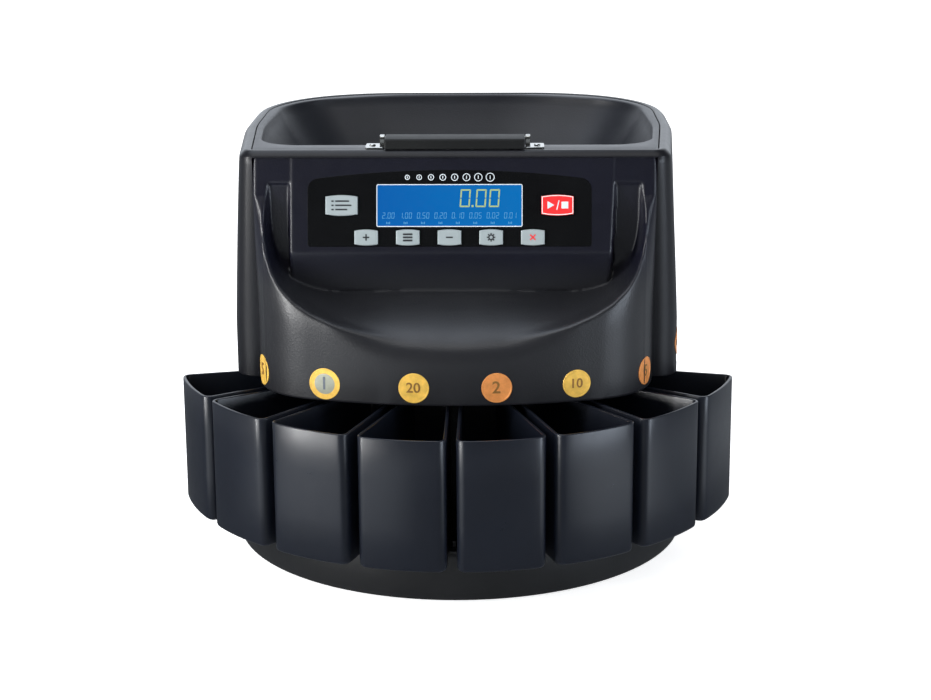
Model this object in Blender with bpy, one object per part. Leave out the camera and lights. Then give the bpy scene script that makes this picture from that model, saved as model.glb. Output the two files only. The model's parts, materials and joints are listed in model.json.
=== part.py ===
"""Coin sorting machine: housing, hopper, sorting drive, control panel and eight coin cups.

Metres, +Z up, the front faces -Y. The vertical sorting axis stands at (0, AXIS_Y);
plan shapes are written about that axis in millimetres and shifted when an object is made.
"""
import math

import bmesh
import bpy
from mathutils import Matrix, Vector

for old in list(bpy.data.objects):
    bpy.data.objects.remove(old, do_unlink=True)

MM = 0.001
AXIS_Y = 0.0165            # sorting axis, behind the middle of the machine's depth
GAP = 0.3                  # assembly clearance between neighbouring pieces

# ---- overall heights (mm)
FOOT_H = 2.4
BASE_BOTTOM = 0.4          # the feet stand 0.4 mm proud of the plinth's edge
BASE_TOP = 32.3
CUP_BOTTOM = 32.6
CUP_TOP = 115.5
BODY_TOP = 119.7
SHELL_BOTTOM = 120.0
COVER_BOTTOM = 119.4
COVER_TOP = 261.7
RIM_TOP = 266.0

# ---- coin cups
CUP_COUNT = 8
CUP_PITCH = 19.1           # degrees about the sorting axis
CUP_OUTER_R = 183.9
CUP_INNER_R = 91.0
CUP_HALF_GAP = 2.9
CUP_WALL = 1.9

# ---- base and rear body
BASE_R = 147.8
COLUMN_R = 86.0
BODY_ANGLE = 78.8
BODY_WALL = 3.0

# ---- control panel
PANEL_LEAN = math.radians(15.6)
PANEL_TOP_Y = -69.0
PANEL_TOP_Z = 262.0
PANEL_X = -3.0             # the panel sits a little left of the cover's centre
PANEL_HALF_W = 87.6
LCD_HALF_W = 44.9
LCD_LOW = -42.6            # along the panel, measured from its top edge line
LCD_HIGH = -16.6
WALL = 3.0
BUTTON_TRAVEL = 0.8

# ---- sorting drive
DISC_R = 84.0
DISC_Z = 150.1
PLATE_R = 117.0
PLATE_Z = 146.0
PLATE_T = 3.5
HOLE_R = 100.0
DECK_R = 87.5
DECK_FRONT_Y = -18.0
COIN_DIAMETERS = (16.3, 18.8, 19.8, 21.3, 22.3, 23.3, 24.3, 25.8)
PULLEY_Z = 107.0
PULLEY_H = 8.0
DISC_PULLEY_R = 38.0
MOTOR_PULLEY_R = 12.0
MOTOR_Y = 92.0

MATERIALS = {
    "housing": ((0.030, 0.032, 0.040), 0.48, 0.0),
    "cover": ((0.022, 0.023, 0.032), 0.45, 0.0),
    "cup": ((0.012, 0.016, 0.026), 0.30, 0.0),
    "base": ((0.012, 0.013, 0.016), 0.38, 0.0),
    "rubber": ((0.010, 0.010, 0.010), 0.85, 0.0),
    "gloss": ((0.004, 0.004, 0.006), 0.12, 0.0),
    "glass": ((0.004, 0.09, 0.55), 0.10, 0.0),
    "key": ((0.62, 0.68, 0.70), 0.35, 0.0),
    "key_red": ((0.72, 0.02, 0.03), 0.35, 0.0),
    "steel": ((0.62, 0.62, 0.62), 0.28, 1.0),
    "aluminium": ((0.72, 0.72, 0.74), 0.35, 1.0),
    "chrome": ((0.80, 0.80, 0.82), 0.12, 1.0),
    "board": ((0.02, 0.16, 0.07), 0.50, 0.0),
    "nylon": ((0.70, 0.68, 0.62), 0.50, 0.0),
    "belt": ((0.015, 0.015, 0.015), 0.75, 0.0),
    "brass": ((0.75, 0.55, 0.22), 0.30, 1.0),
}


def material_for(name, kind):
    colour, rough, metal = MATERIALS[kind]
    mat = bpy.data.materials.new(name + "_mat")
    mat.use_nodes = True
    shader = mat.node_tree.nodes["Principled BSDF"]
    shader.inputs["Base Color"].default_value = (*colour, 1.0)
    shader.inputs["Roughness"].default_value = rough
    shader.inputs["Metallic"].default_value = metal
    return mat


# ------------------------------------------------------------------ plan outlines
def rounded(corners, seg=4):
    """Closed outline with every corner (x, y, radius) turned into an arc."""
    out = []
    count = len(corners)
    for i, corner in enumerate(corners):
        x, y, r = corner[:3]
        steps = corner[3] if len(corner) > 3 else seg
        p = Vector((x, y))
        a = Vector(corners[i - 1][:2])
        b = Vector(corners[(i + 1) % count][:2])
        da = (a - p).normalized()
        db = (b - p).normalized()
        half = da.angle(db) / 2
        if r <= 0:
            out.append((x, y))
            continue
        reach = r / math.tan(half)
        centre = p + (da + db).normalized() * (r / math.sin(half))
        start = p + da * reach - centre
        end = p + db * reach - centre
        turn = start.angle_signed(end)
        for k in range(steps + 1):
            spin = Matrix.Rotation(-turn * k / steps, 2)
            q = centre + spin @ start
            out.append((q.x, q.y))
    return out


def inset(loop, d):
    """Move a counter-clockwise outline inward by d."""
    out = []
    count = len(loop)
    for i in range(count):
        p = Vector(loop[i])
        e1 = (p - Vector(loop[i - 1])).normalized()
        e2 = (Vector(loop[(i + 1) % count]) - p).normalized()
        n1 = Vector((-e1.y, e1.x))
        n2 = Vector((-e2.y, e2.x))
        n = (n1 + n2).normalized()
        q = p + n * (d / max(0.4, n.dot(n1)))
        out.append((q.x, q.y))
    return out


def hull(points):
    """Convex outline, counter-clockwise."""
    points = sorted(points)
    halves = []
    for ordered in (points, points[::-1]):
        chain = []
        for p in ordered:
            while len(chain) > 1:
                a, b = chain[-2], chain[-1]
                if (b[0] - a[0]) * (p[1] - a[1]) - (b[1] - a[1]) * (p[0] - a[0]) > 0:
                    break
                chain.pop()
            chain.append(p)
        halves.append(chain[:-1])
    return halves[0] + halves[1]


def circle(r, seg=32, cx=0.0, cy=0.0, turn=0.0):
    out = []
    for i in range(seg):
        a = 2 * math.pi * (i + turn) / seg
        out.append((cx + r * math.cos(a), cy + r * math.sin(a)))
    return out


def rect(x0, x1, y0, y1, r=0.0, seg=3):
    return rounded([(x0, y0, r), (x1, y0, r), (x1, y1, r), (x0, y1, r)], seg)


def level(loop, z):
    return [(x, y, z) for x, y in loop]


def radial(angle, r):
    """Plan point at an angle from the front (-Y), positive towards +X."""
    return r * math.sin(math.radians(angle)), -r * math.cos(math.radians(angle))


# ------------------------------------------------------------------ panel frame
PANEL_UP = Vector((0, math.sin(PANEL_LEAN), math.cos(PANEL_LEAN)))
PANEL_OUT = Vector((0, -math.cos(PANEL_LEAN), math.sin(PANEL_LEAN)))
PANEL_ORIGIN = Vector((0, PANEL_TOP_Y, PANEL_TOP_Z))


def on_panel(x, s, d):
    p = PANEL_ORIGIN + PANEL_UP * s + PANEL_OUT * d
    return x + PANEL_X, p.y, p.z


def panel_level(loop, d):
    return [on_panel(x, s, d) for x, s in loop]


# ------------------------------------------------------------------ solids
def mesh_from(rings, loop_closed):
    bm = bmesh.new()
    rows = [[bm.verts.new(p) for p in ring] for ring in rings]
    pairs = list(zip(rows, rows[1:]))
    if loop_closed:
        pairs.append((rows[-1], rows[0]))
    for low, high in pairs:
        n = len(low)
        for i in range(n):
            j = (i + 1) % n
            bm.faces.new((low[i], low[j], high[j], high[i]))
    if not loop_closed:
        bm.faces.new(list(reversed(rows[0])))
        bm.faces.new(rows[-1])
    bmesh.ops.recalc_face_normals(bm, faces=bm.faces)
    return bm


def solid(rings, loop_closed=False):
    """A closed body skinned over rings of equal point count (mm, about the axis)."""
    bm = mesh_from(rings, loop_closed)
    mesh = bpy.data.meshes.new("solid")
    bm.to_mesh(mesh)
    bm.free()
    obj = bpy.data.objects.new("solid", mesh)
    bpy.context.scene.collection.objects.link(obj)
    return obj


def block(x0, x1, y0, y1, z0, z1):
    loop = [(x0, y0), (x1, y0), (x1, y1), (x0, y1)]
    return solid([level(loop, z0), level(loop, z1)])


def rod(r, z0, z1, cx=0.0, cy=0.0, seg=20):
    loop = circle(r, seg, cx, cy)
    return solid([level(loop, z0), level(loop, z1)])


def rod_along(axis, r, p, length, seg=12):
    """Cylinder along X or Y from point p."""
    rings = []
    for step in (0.0, length):
        ring = []
        for i in range(seg):
            a = 2 * math.pi * i / seg
            u, v = r * math.cos(a), r * math.sin(a)
            if axis == "X":
                ring.append((p[0] + step, p[1] + u, p[2] + v))
            else:
                ring.append((p[0] + u, p[1] + step, p[2] + v))
        rings.append(ring)
    return solid(rings)


def combine(target, tool, operation):
    mod = target.modifiers.new("combine", "BOOLEAN")
    mod.solver = "EXACT"
    mod.operation = operation
    mod.object = tool
    bpy.context.view_layer.update()
    depsgraph = bpy.context.evaluated_depsgraph_get()
    result = bpy.data.meshes.new_from_object(target.evaluated_get(depsgraph))
    target.modifiers.clear()
    target.data = result
    bpy.data.objects.remove(tool, do_unlink=True)
    return target


def cut(target, *tools):
    for tool in tools:
        combine(target, tool, "DIFFERENCE")
    return target


def join(target, *tools):
    for tool in tools:
        combine(target, tool, "UNION")
    return target


def publish(obj, name, kind, pivot=None, smooth=35.0):
    """Name the piece, convert to metres and put its origin on the pivot (mm, about the axis)."""
    mesh = obj.data
    if pivot is None:
        lo = [min(v.co[k] for v in mesh.vertices) for k in range(3)]
        hi = [max(v.co[k] for v in mesh.vertices) for k in range(3)]
        pivot = [(a + b) / 2 for a, b in zip(lo, hi)]
    pivot = Vector(pivot)
    bm = bmesh.new()
    bm.from_mesh(mesh)
    for v in bm.verts:
        v.co = (v.co - pivot) * MM
    bmesh.ops.remove_doubles(bm, verts=bm.verts, dist=0.00002)
    bmesh.ops.dissolve_degenerate(bm, edges=bm.edges, dist=0.00002)
    bmesh.ops.recalc_face_normals(bm, faces=bm.faces)
    clean = bpy.data.meshes.new(name)
    bm.to_mesh(clean)
    bm.free()
    clean.materials.append(material_for(name, kind))
    clean.shade_smooth()
    clean.set_sharp_from_angle(angle=math.radians(smooth))
    obj.data = clean
    obj.name = name
    obj.location = pivot * MM + Vector((0, AXIS_Y, 0))
    return obj


# ------------------------------------------------------------------ housing outline
def housing_outline(z, d=0.0):
    """Plan of the outer housing at height z, moved inward by d."""
    t = min(1.0, max(0.0, (RIM_TOP - z) / (RIM_TOP - 155.0)))
    t = t * (1.25 - 0.25 * t)
    t = min(1.0, t)
    front_x = 133.0 + 6.4 * t
    mid_x = 138.2 + 4.9 * t
    rear_x = 133.0 + 4.6 * t
    front_r = 11.0 + 8.0 * t
    corners = [
        (-front_x, -70.0 + 4.0 * t, front_r, 5),
        (front_x, -70.0 + 4.0 * t, front_r, 5),
        (mid_x, 22.0, 240.0, 2),
        (rear_x, 121.5, 60.0, 7),
        (50.0, 150.6, 150.0, 3),
        (-50.0, 150.6, 150.0, 3),
        (-rear_x, 121.5, 60.0, 7),
        (-mid_x, 22.0, 240.0, 2),
    ]
    return inset(rounded(corners, 5), d) if d else rounded(corners, 5)


def drum_outline(z, d=0.0):
    """Plan of the front cover at height z: shallow front arc between two rounded columns."""
    t = min(1.0, max(0.0, (z - 172.0) / (240.0 - 172.0)))
    lean = PANEL_TOP_Y - math.tan(PANEL_LEAN) * (PANEL_TOP_Z - z) + 0.6
    half_w = 123.6 + 3.2 * t
    corner_y = -103.5 + (lean + 103.5) * t
    front_y = -127.0 + (lean - 0.25 + 127.0) * t
    corner_r = 47.0 - 35.0 * t
    back = -50.0 if d == 0 else -20.0
    corners = [
        (half_w, back, 0),
        (-half_w, back, 0),
        (-half_w, corner_y, corner_r),
        (-40.0, front_y, 284.0),
        (40.0, front_y, 284.0),
        (half_w, corner_y, corner_r),
    ]
    loop = rounded(corners, 7)
    if d:
        moved = inset(loop, d)
        moved[0] = (loop[0][0] - d, back)
        moved[1] = (loop[1][0] + d, back)
        return moved
    return loop


# ------------------------------------------------------------------ base and feet
def build_base():
    rear = [p for p in housing_outline(120.0, 1.2) if p[1] > 60.0]
    outline = hull(circle(BASE_R, 64, turn=0.5) + rear)
    deck = 3.0
    rings = [
        level(inset(outline, 1.4), BASE_BOTTOM),
        level(outline, BASE_BOTTOM + 1.6),
        level(outline, BASE_TOP - 3.6),
        level(inset(outline, 1.0), BASE_TOP - 1.4),
        level(inset(outline, 3.2), BASE_TOP),
    ]
    body = solid(rings)
    hollow = solid([level(inset(outline, 5.5), BASE_BOTTOM - 2),
                    level(inset(outline, 5.5), BASE_TOP - deck - 4)])
    cut(body, hollow)
    for angle in (-45, 45, 135, 225):
        x, y = radial(angle, 128.0)
        join(body, rod(11.0, FOOT_H + GAP, BASE_TOP - deck, x, y, 20))
    for i in range(CUP_COUNT + 1):
        angle = math.radians((i - CUP_COUNT / 2) * CUP_PITCH)
        rib = [Vector(p) for p in ((-1.3, -139.0), (1.3, -139.0), (1.3, -93.0), (-1.3, -93.0))]
        loop = [tuple(Matrix.Rotation(angle, 2) @ p) for p in rib]
        join(body, solid([level(loop, BASE_TOP - 1.5), level(loop, BASE_TOP + 4.0)]))
    publish(body, "base_plinth", "base")
    for i, angle in enumerate((-45, 45, 135, 225)):
        x, y = radial(angle, 128.0)
        foot = solid([level(circle(8.2, 20, x, y), 0.0), level(circle(9.0, 20, x, y), 0.8),
                      level(circle(9.0, 20, x, y), FOOT_H)])
        publish(foot, f"rubber_foot_{i + 1}", "rubber")


# ------------------------------------------------------------------ coin cups
def cup_outline(angle):
    """Sector between two radial walls, outer corners well rounded."""
    half = math.radians(CUP_PITCH / 2)
    side = Vector((math.sin(half), -math.cos(half)))
    shift = Vector((-math.cos(half), -math.sin(half))) * CUP_HALF_GAP

    def edge_point(r):
        return side * math.sqrt(r * r - CUP_HALF_GAP ** 2) + shift

    outer = edge_point(CUP_OUTER_R)
    inner = edge_point(CUP_INNER_R)
    reach = math.atan2(outer.x, -outer.y)
    corners = [(-outer.x, outer.y, 5.5)]
    for k in range(1, 6):
        a = reach * (k / 3 - 1)
        corners.append((CUP_OUTER_R * math.sin(a), -CUP_OUTER_R * math.cos(a), 0))
    corners += [(outer.x, outer.y, 5.5), (inner.x, inner.y, 3.0), (-inner.x, inner.y, 3.0)]
    spin = Matrix.Rotation(math.radians(-angle), 2)
    return [tuple(spin @ Vector(p)) for p in rounded(corners, 3)]


def build_cups():
    for i in range(CUP_COUNT):
        angle = (i - (CUP_COUNT - 1) / 2) * CUP_PITCH
        loop = cup_outline(-angle)
        w = CUP_WALL
        rings = [
            level(inset(loop, 2.6), CUP_BOTTOM),
            level(inset(loop, 0.8), CUP_BOTTOM + 0.8),
            level(loop, CUP_BOTTOM + 2.8),
            level(loop, CUP_TOP),
            level(inset(loop, w), CUP_TOP),
            level(inset(loop, w), CUP_BOTTOM + 4.2),
            level(inset(loop, w + 1.6), CUP_BOTTOM + 2.4),
        ]
        x, y = radial(angle, (CUP_OUTER_R + CUP_INNER_R) / 2)
        publish(solid(rings), f"coin_cup_{i + 1}", "cup", (x, y, CUP_BOTTOM), 40.0)


# ------------------------------------------------------------------ rear body
def body_outline(d=0.0):
    """Column inside the cups, radial cheeks beside them and the housing outline behind."""
    shell = housing_outline(130.0, 1.6)
    rear = [p for p in shell if p[1] > -28.0]
    rear.sort(key=lambda p: math.atan2(p[0], -p[1]))
    right = [p for p in rear if p[0] > 0]
    left = [p for p in rear if p[0] < 0]
    edge = radial(BODY_ANGLE, 145.0)
    arc = [radial(a, COLUMN_R) for a in
           [BODY_ANGLE * (k / 6 - 1) for k in range(13)]]
    loop = [(-edge[0], edge[1])] + arc + [edge] + right + left
    return inset(loop, d) if d else loop


def build_rear_body():
    loop = body_outline()
    inner = body_outline(BODY_WALL)
    floor = inset(loop, BODY_WALL + 0.01)
    rings = [
        level(loop, BASE_TOP + GAP),
        level(loop, BODY_TOP),
        level(inner, BODY_TOP),
        level(floor, BASE_TOP + GAP + 3.0),
    ]
    publish(solid(rings), "rear_body", "base")


# ------------------------------------------------------------------ deck under the sorting plate
def crossing(outline, y):
    """Largest x at which a plan outline crosses the given y."""
    best = 0.0
    for i, (bx, by) in enumerate(outline):
        ax, ay = outline[i - 1]
        if (ay - y) * (by - y) < 0:
            best = max(best, ax + (bx - ax) * (y - ay) / (by - ay))
    return best


def build_deck():
    shell = housing_outline(122.0, WALL + 0.8)
    rear = [p for p in shell if p[1] > DECK_FRONT_Y]
    rear.sort(key=lambda p: math.atan2(p[0], -p[1]))
    side = crossing(shell, DECK_FRONT_Y)
    loop = [radial(a, DECK_R) for a in range(-80, 81, 8)]
    loop += [(side, DECK_FRONT_Y)] + [p for p in rear if p[0] > 0]
    loop += [p for p in rear if p[0] < 0] + [(-side, DECK_FRONT_Y)]
    deck = solid([level(loop, 120.3), level(loop, 126.3)])
    cut(deck, rod(9.0, 110, 135, seg=24))
    for angle in (45, 135, 225, 315):
        x, y = radial(angle, 72.0)
        join(deck, rod(4.0, 125.0, PLATE_Z - GAP, x, y, 12))
    publish(deck, "chute_deck", "housing")
    for i, (x, y) in enumerate(((-124, 40), (124, 40), (-100, 112), (100, 112))):
        head = solid([level(circle(3.6, 14, x, y), 126.6), level(circle(3.6, 14, x, y), 128.2),
                      level(circle(2.4, 14, x, y), 129.4)])
        publish(head, f"deck_screw_{i + 1}", "steel")


# ------------------------------------------------------------------ outer shell
def build_shell():
    heights = (120.0, 155.0, 190.0, 225.0, 258.0)
    rings = [level(housing_outline(z), z) for z in heights]
    rings.append(level(housing_outline(262.5, 0.2), 262.5))
    rings.append(level(housing_outline(265.2, 1.2), 265.2))
    rings.append(level(housing_outline(266.0, 3.2), 266.0))
    rings.append(level(housing_outline(266.0, 6.6), 266.0))
    rings.append(level(housing_outline(266.0, 7.7), 265.3))
    rings.append(level(housing_outline(266.0, 7.7), 262.0))
    rings.append(level(housing_outline(258.0, WALL + 0.2), 261.0))
    for z in reversed(heights[:-1]):
        rings.append(level(housing_outline(z, WALL), z))
    shell = solid(rings, loop_closed=True)
    notch = []
    for z in (100.0, 172.0, 240.0, COVER_TOP + GAP):
        half = drum_outline(z)[0][0] + GAP
        notch.append(level([(-half, -140.0), (half, -140.0), (half, -30.0), (-half, -30.0)], z))
    cut(shell, solid(notch))
    cut(shell, block(-46, 46, 140, 160, 138, 170))
    publish(shell, "outer_shell", "housing", smooth=40.0)


# ------------------------------------------------------------------ front cover
SCOOP_EDGE = ((115, 246), (115, 236), (115, 226), (114.4, 216), (112.6, 206), (109, 196),
              (103, 186.5), (94, 177.5), (83, 170.5), (69, 164.8), (52, 160.6), (34, 158.2),
              (17, 157.2))
SCOOP_STEPS = ((-145, 115.0, 157.0), (-126, 115.0, 157.0), (-116, 115.0, 158.2),
               (-104, 115.0, 162.0), (-94, 115.0, 167.0), (-86, 114.6, 172.0),
               (-79, 113.6, 177.0), (-74, 111.5, 181.5), (-71, 108.5, 186.0))


def scoop(grow=0.0):
    rings = []
    for y, width, low in SCOOP_STEPS:
        ring = []
        right = []
        for x, z in SCOOP_EDGE:
            px = (x * width / 115.0) + grow
            pz = 246.0 - (246.0 - z) * (246.0 - low) / 89.0 - grow
            right.append((px, pz))
        top = 246.0 + grow
        right[0] = (right[0][0], top)
        ring += [(x, y + grow, z) for x, z in right]
        ring.append((0, y + grow, low - grow))
        ring += [(-x, y + grow, z) for x, z in reversed(right)]
        rings.append(ring)
    rings[0] = [(x, -150.0, z) for x, _, z in rings[0]]
    return solid(rings)


def control_block(d=0.0, back=-52.0):
    """Leaning control block with a bevelled lower face."""
    rings = []
    crease_y, crease_z = -84.8, 205.5
    low_z = 180.0
    for z, shrink in ((low_z, 8.0), (181.2, 4.4), (183.6, 1.8), (187.5, 0.4), (192.0, 0.0),
                      (203.5, 0.0), (207.5, 0.0), (225.0, 0.0), (245.0, 0.0), (262.0, 0.0)):
        if z >= crease_z:
            y = PANEL_TOP_Y - math.tan(PANEL_LEAN) * (PANEL_TOP_Z - z)
        else:
            y = crease_y + (crease_z - z) * 0.30
        if z in (203.5, 207.5):
            y += 0.25
        half = 99.7 - shrink - d
        y += d
        up = z
        if z == low_z:
            up = z + d
        if z == 262.0 and d:
            up = 290.0
        rings.append(level(rounded([(-half, y, 3.0), (half, y, 3.0), (half, back, 0),
                                    (-half, back, 0)], 3), up))
    if d:
        rings.pop(1)
    return solid(rings)


def barrel(x, s, w, h, bulge, seg=4):
    """Key outline in panel coordinates: straight sides, bowed top and bottom."""
    a, b = w / 2, h / 2
    loop = []
    for k in range(seg + 1):
        t = -1 + 2 * k / seg
        loop.append((x + a * t, s - b - bulge * (1 - t * t)))
    for k in range(seg + 1):
        t = 1 - 2 * k / seg
        loop.append((x + a * t, s + b + bulge * (1 - t * t)))
    return loop


BUTTONS = (
    ("report_button", -66.6, -29.5, 20.8, 12.8, "key"),
    ("start_stop_button", 66.6, -29.5, 20.8, 12.8, "key_red"),
    ("plus_button", -51.4, -49.3, 15.5, 9.9, "key"),
    ("batch_button", -25.7, -49.3, 15.5, 9.9, "key"),
    ("minus_button", 0.0, -49.3, 15.5, 9.9, "key"),
    ("set_button", 25.7, -49.3, 15.5, 9.9, "key"),
    ("clear_button", 51.4, -49.3, 15.5, 9.9, "key"),
)


def key_loop(x, s, w, h, d=0.0):
    bulge = 1.0 if w > 18 else 0.8
    loop = barrel(x, s, w - 1.0, h - 2 * bulge, bulge)
    return inset(loop, d) if d else loop


def overlay_loop(d=0.0):
    w = PANEL_HALF_W
    arch = [(w, -55.0, 2.0), (w, -17.6, 8.0), (54.0, -9.4, 60.0), (0.0, -5.2, 0.0),
            (-54.0, -9.4, 60.0), (-w, -17.6, 8.0), (-w, -55.0, 2.0)]
    loop = rounded(arch, 4)
    return inset(loop, d) if d else loop


def panel_box(x0, x1, s0, s1, d0, d1):
    loop = [(x0, s0), (x1, s0), (x1, s1), (x0, s1)]
    return solid([panel_level(loop, d0), panel_level(loop, d1)])


def build_front_cover():
    heights = (COVER_BOTTOM, 135.0, 155.0, 172.0, 184.0, 197.0, 212.0, 227.0, 240.0, COVER_TOP)
    cover = solid([level(drum_outline(z), z) for z in heights])
    cut(cover, scoop())
    join(cover, control_block())
    cut(cover, block(-150, 150, -130, 0, COVER_TOP, 300))
    hollow = solid([level(drum_outline(z, WALL), z + (-10 if z < 120 else 0)
                          + (20 if z > 250 else 0)) for z in heights])
    cut(hollow, scoop(WALL))
    join(hollow, control_block(WALL, -20.0))
    cut(cover, hollow)
    trim = block(-118, 118, -60, -40, 100, 300)
    cut(cover, trim)
    cut(cover, solid([panel_level(overlay_loop(-0.3), -1.0), panel_level(overlay_loop(-0.3), 6.0)]))
    cut(cover, panel_box(-LCD_HALF_W - 1.2, LCD_HALF_W + 1.2, LCD_LOW - 1.2, LCD_HIGH + 1.2, -12, 5))
    for name, x, s, w, h, kind in BUTTONS:
        hole = key_loop(x, s, w, h, -0.4)
        cut(cover, solid([panel_level(hole, -12.0), panel_level(hole, 5.0)]))
    publish(cover, "front_cover", "cover", smooth=40.0)


def build_panel():
    overlay = solid([panel_level(overlay_loop(), -0.7), panel_level(overlay_loop(), 0.3)])
    window = rect(-LCD_HALF_W, LCD_HALF_W, LCD_LOW, LCD_HIGH, 1.0, 2)
    cut(overlay, solid([panel_level(window, -5), panel_level(window, 5)]))
    for name, x, s, w, h, kind in BUTTONS:
        hole = key_loop(x, s, w, h, -0.4)
        cut(overlay, solid([panel_level(hole, -5.0), panel_level(hole, 5.0)]))
    publish(overlay, "panel_overlay", "gloss")
    pane = rect(-LCD_HALF_W + 0.3, LCD_HALF_W - 0.3, LCD_LOW + 0.3, LCD_HIGH - 0.3, 0.8, 2)
    publish(solid([panel_level(pane, -1.4), panel_level(pane, 0.1)]), "display_window", "glass")
    module = panel_box(-LCD_HALF_W - 0.6, LCD_HALF_W + 0.6, LCD_LOW - 0.6, LCD_HIGH + 0.6,
                       -8.0, -1.7)
    publish(module, "lcd_module", "nylon")
    board = panel_box(-88, 88, -56.0, -8.0, -9.9, -8.3)
    join(board, panel_box(-30, 30, -52, -38, -12.5, -9.8))
    for name, x, s, w, h, kind in BUTTONS:
        if s > -40:
            join(board, panel_box(x - 3, x + 3, s - 3, s + 3, -8.5, -5.0))
        else:
            join(board, panel_box(x - 3, x + 3, s - 3, s + 3, -8.5, -5.0))
    publish(board, "display_board", "board")
    for name, x, s, w, h, kind in BUTTONS:
        rings = [
            panel_level(key_loop(x, s, w, h, 0.6), -5.0 + GAP + BUTTON_TRAVEL),
            panel_level(key_loop(x, s, w, h), -3.4),
            panel_level(key_loop(x, s, w, h), 1.3),
            panel_level(key_loop(x, s, w, h, 0.5), 1.9),
        ]
        publish(solid(rings), name, kind, on_panel(x, s, 0.0))


# ------------------------------------------------------------------ hopper bowl and handle
def blend_loops(a, b, t):
    return [(p[0] * (1 - t) + q[0] * t, p[1] * (1 - t) + q[1] * t) for p, q in zip(a, b)]


def throat_loop(r, pattern):
    centre = Vector((0.0, 14.0))
    out = []
    total = 0.0
    lengths = [0.0]
    for i in range(1, len(pattern)):
        total += (Vector(pattern[i]) - Vector(pattern[i - 1])).length
        lengths.append(total)
    for x, y in pattern:
        ray = Vector((x, (y - 40.0) * 1.12)).normalized()
        out.append((centre.x + ray.x * r, centre.y + ray.y * r))
    return out


def bowl_mouth(d=0.0):
    front_x, front_y = 122.5 - d, -45.0 + d
    corners = [
        (-front_x, front_y, 26.0, 5),
        (front_x, front_y, 26.0, 5),
        (127.0 - d, 22.0, 240.0, 2),
        (121.0 - d, 112.0, 52.0, 7),
        (46.0, 138.6 - d, 140.0, 3),
        (-46.0, 138.6 - d, 140.0, 3),
        (-121.0 + d, 112.0, 52.0, 7),
        (-127.0 + d, 22.0, 240.0, 2),
    ]
    return rounded(corners, 5)


BOWL_STEPS = ((0.10, 252.0), (0.30, 232.0), (0.56, 207.0), (0.80, 186.0), (0.95, 173.0),
              (1.0, 165.0))


def build_hopper():
    flange = housing_outline(266.0, 8.0)
    mouth = bowl_mouth()
    throat = throat_loop(58.0, mouth)
    outer_throat = throat_loop(60.5, mouth)
    under = inset(mouth, -2.6)
    rings = [level(flange, 262.6), level(flange, 264.6), level(inset(flange, 0.9), 265.6)]
    rings.append(level(inset(mouth, -1.6), 265.6))
    rings.append(level(mouth, 264.4))
    for t, z in BOWL_STEPS:
        rings.append(level(blend_loops(mouth, throat, t), z))
    for t, z in reversed(BOWL_STEPS[::2] + BOWL_STEPS[-1:]):
        rings.append(level(blend_loops(under, outer_throat, t), z - 1.2 * (1 - t)))
    rings.append(level(under, 262.6))
    publish(solid(rings, loop_closed=True), "hopper_bowl", "housing", smooth=40.0)

    hinge_y, hinge_z = HANDLE_HINGE
    bar = solid(handle_sections())
    cut(bar, rod_along("X", 1.45, (-60, hinge_y, hinge_z), 120, 14))
    publish(bar, "lift_handle", "base", (0, hinge_y, hinge_z))
    for side, name in ((-1, "handle_bracket_left"), (1, "handle_bracket_right")):
        x0, x1 = sorted((side * 43.9, side * 55.5))
        foot = block(x0, x1, hinge_y - 12.0, hinge_y + 1.6, 265.9, 267.0)
        x0, x1 = sorted((side * 43.9, side * 46.9))
        join(foot, block(x0, x1, hinge_y - 3.4, hinge_y + 2.4, 266.5, 272.8))
        pin_x = -46.0 if side < 0 else 36.5
        join(foot, rod_along("X", 1.15, (pin_x, hinge_y, hinge_z), 9.5, 14))
        publish(foot, name, "chrome")


HANDLE_HINGE = (-49.6, 270.5)


def handle_sections():
    """Flat carrying bar, folded forward onto the bowl's front flange, hinged at its rear edge."""
    rings = []
    front, back, low, high = -66.0, -46.8, 267.2, 273.8
    for x, d in ((-43.5, 0.5), (-42.7, 0.0), (42.7, 0.0), (43.5, 0.5)):
        rings.append([(x, y, z) for y, z in (
            (front + 1.0 + d, low + d), (back - 1.0 - d, low + d), (back - d, low + 1.0 + d),
            (back - d, high - 1.4 - d), (back - 1.4 - d, high - d), (front + 1.8 + d, high - d),
            (front + d, high - 1.8 - d), (front + d, low + 1.0 + d))])
    return rings


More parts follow.
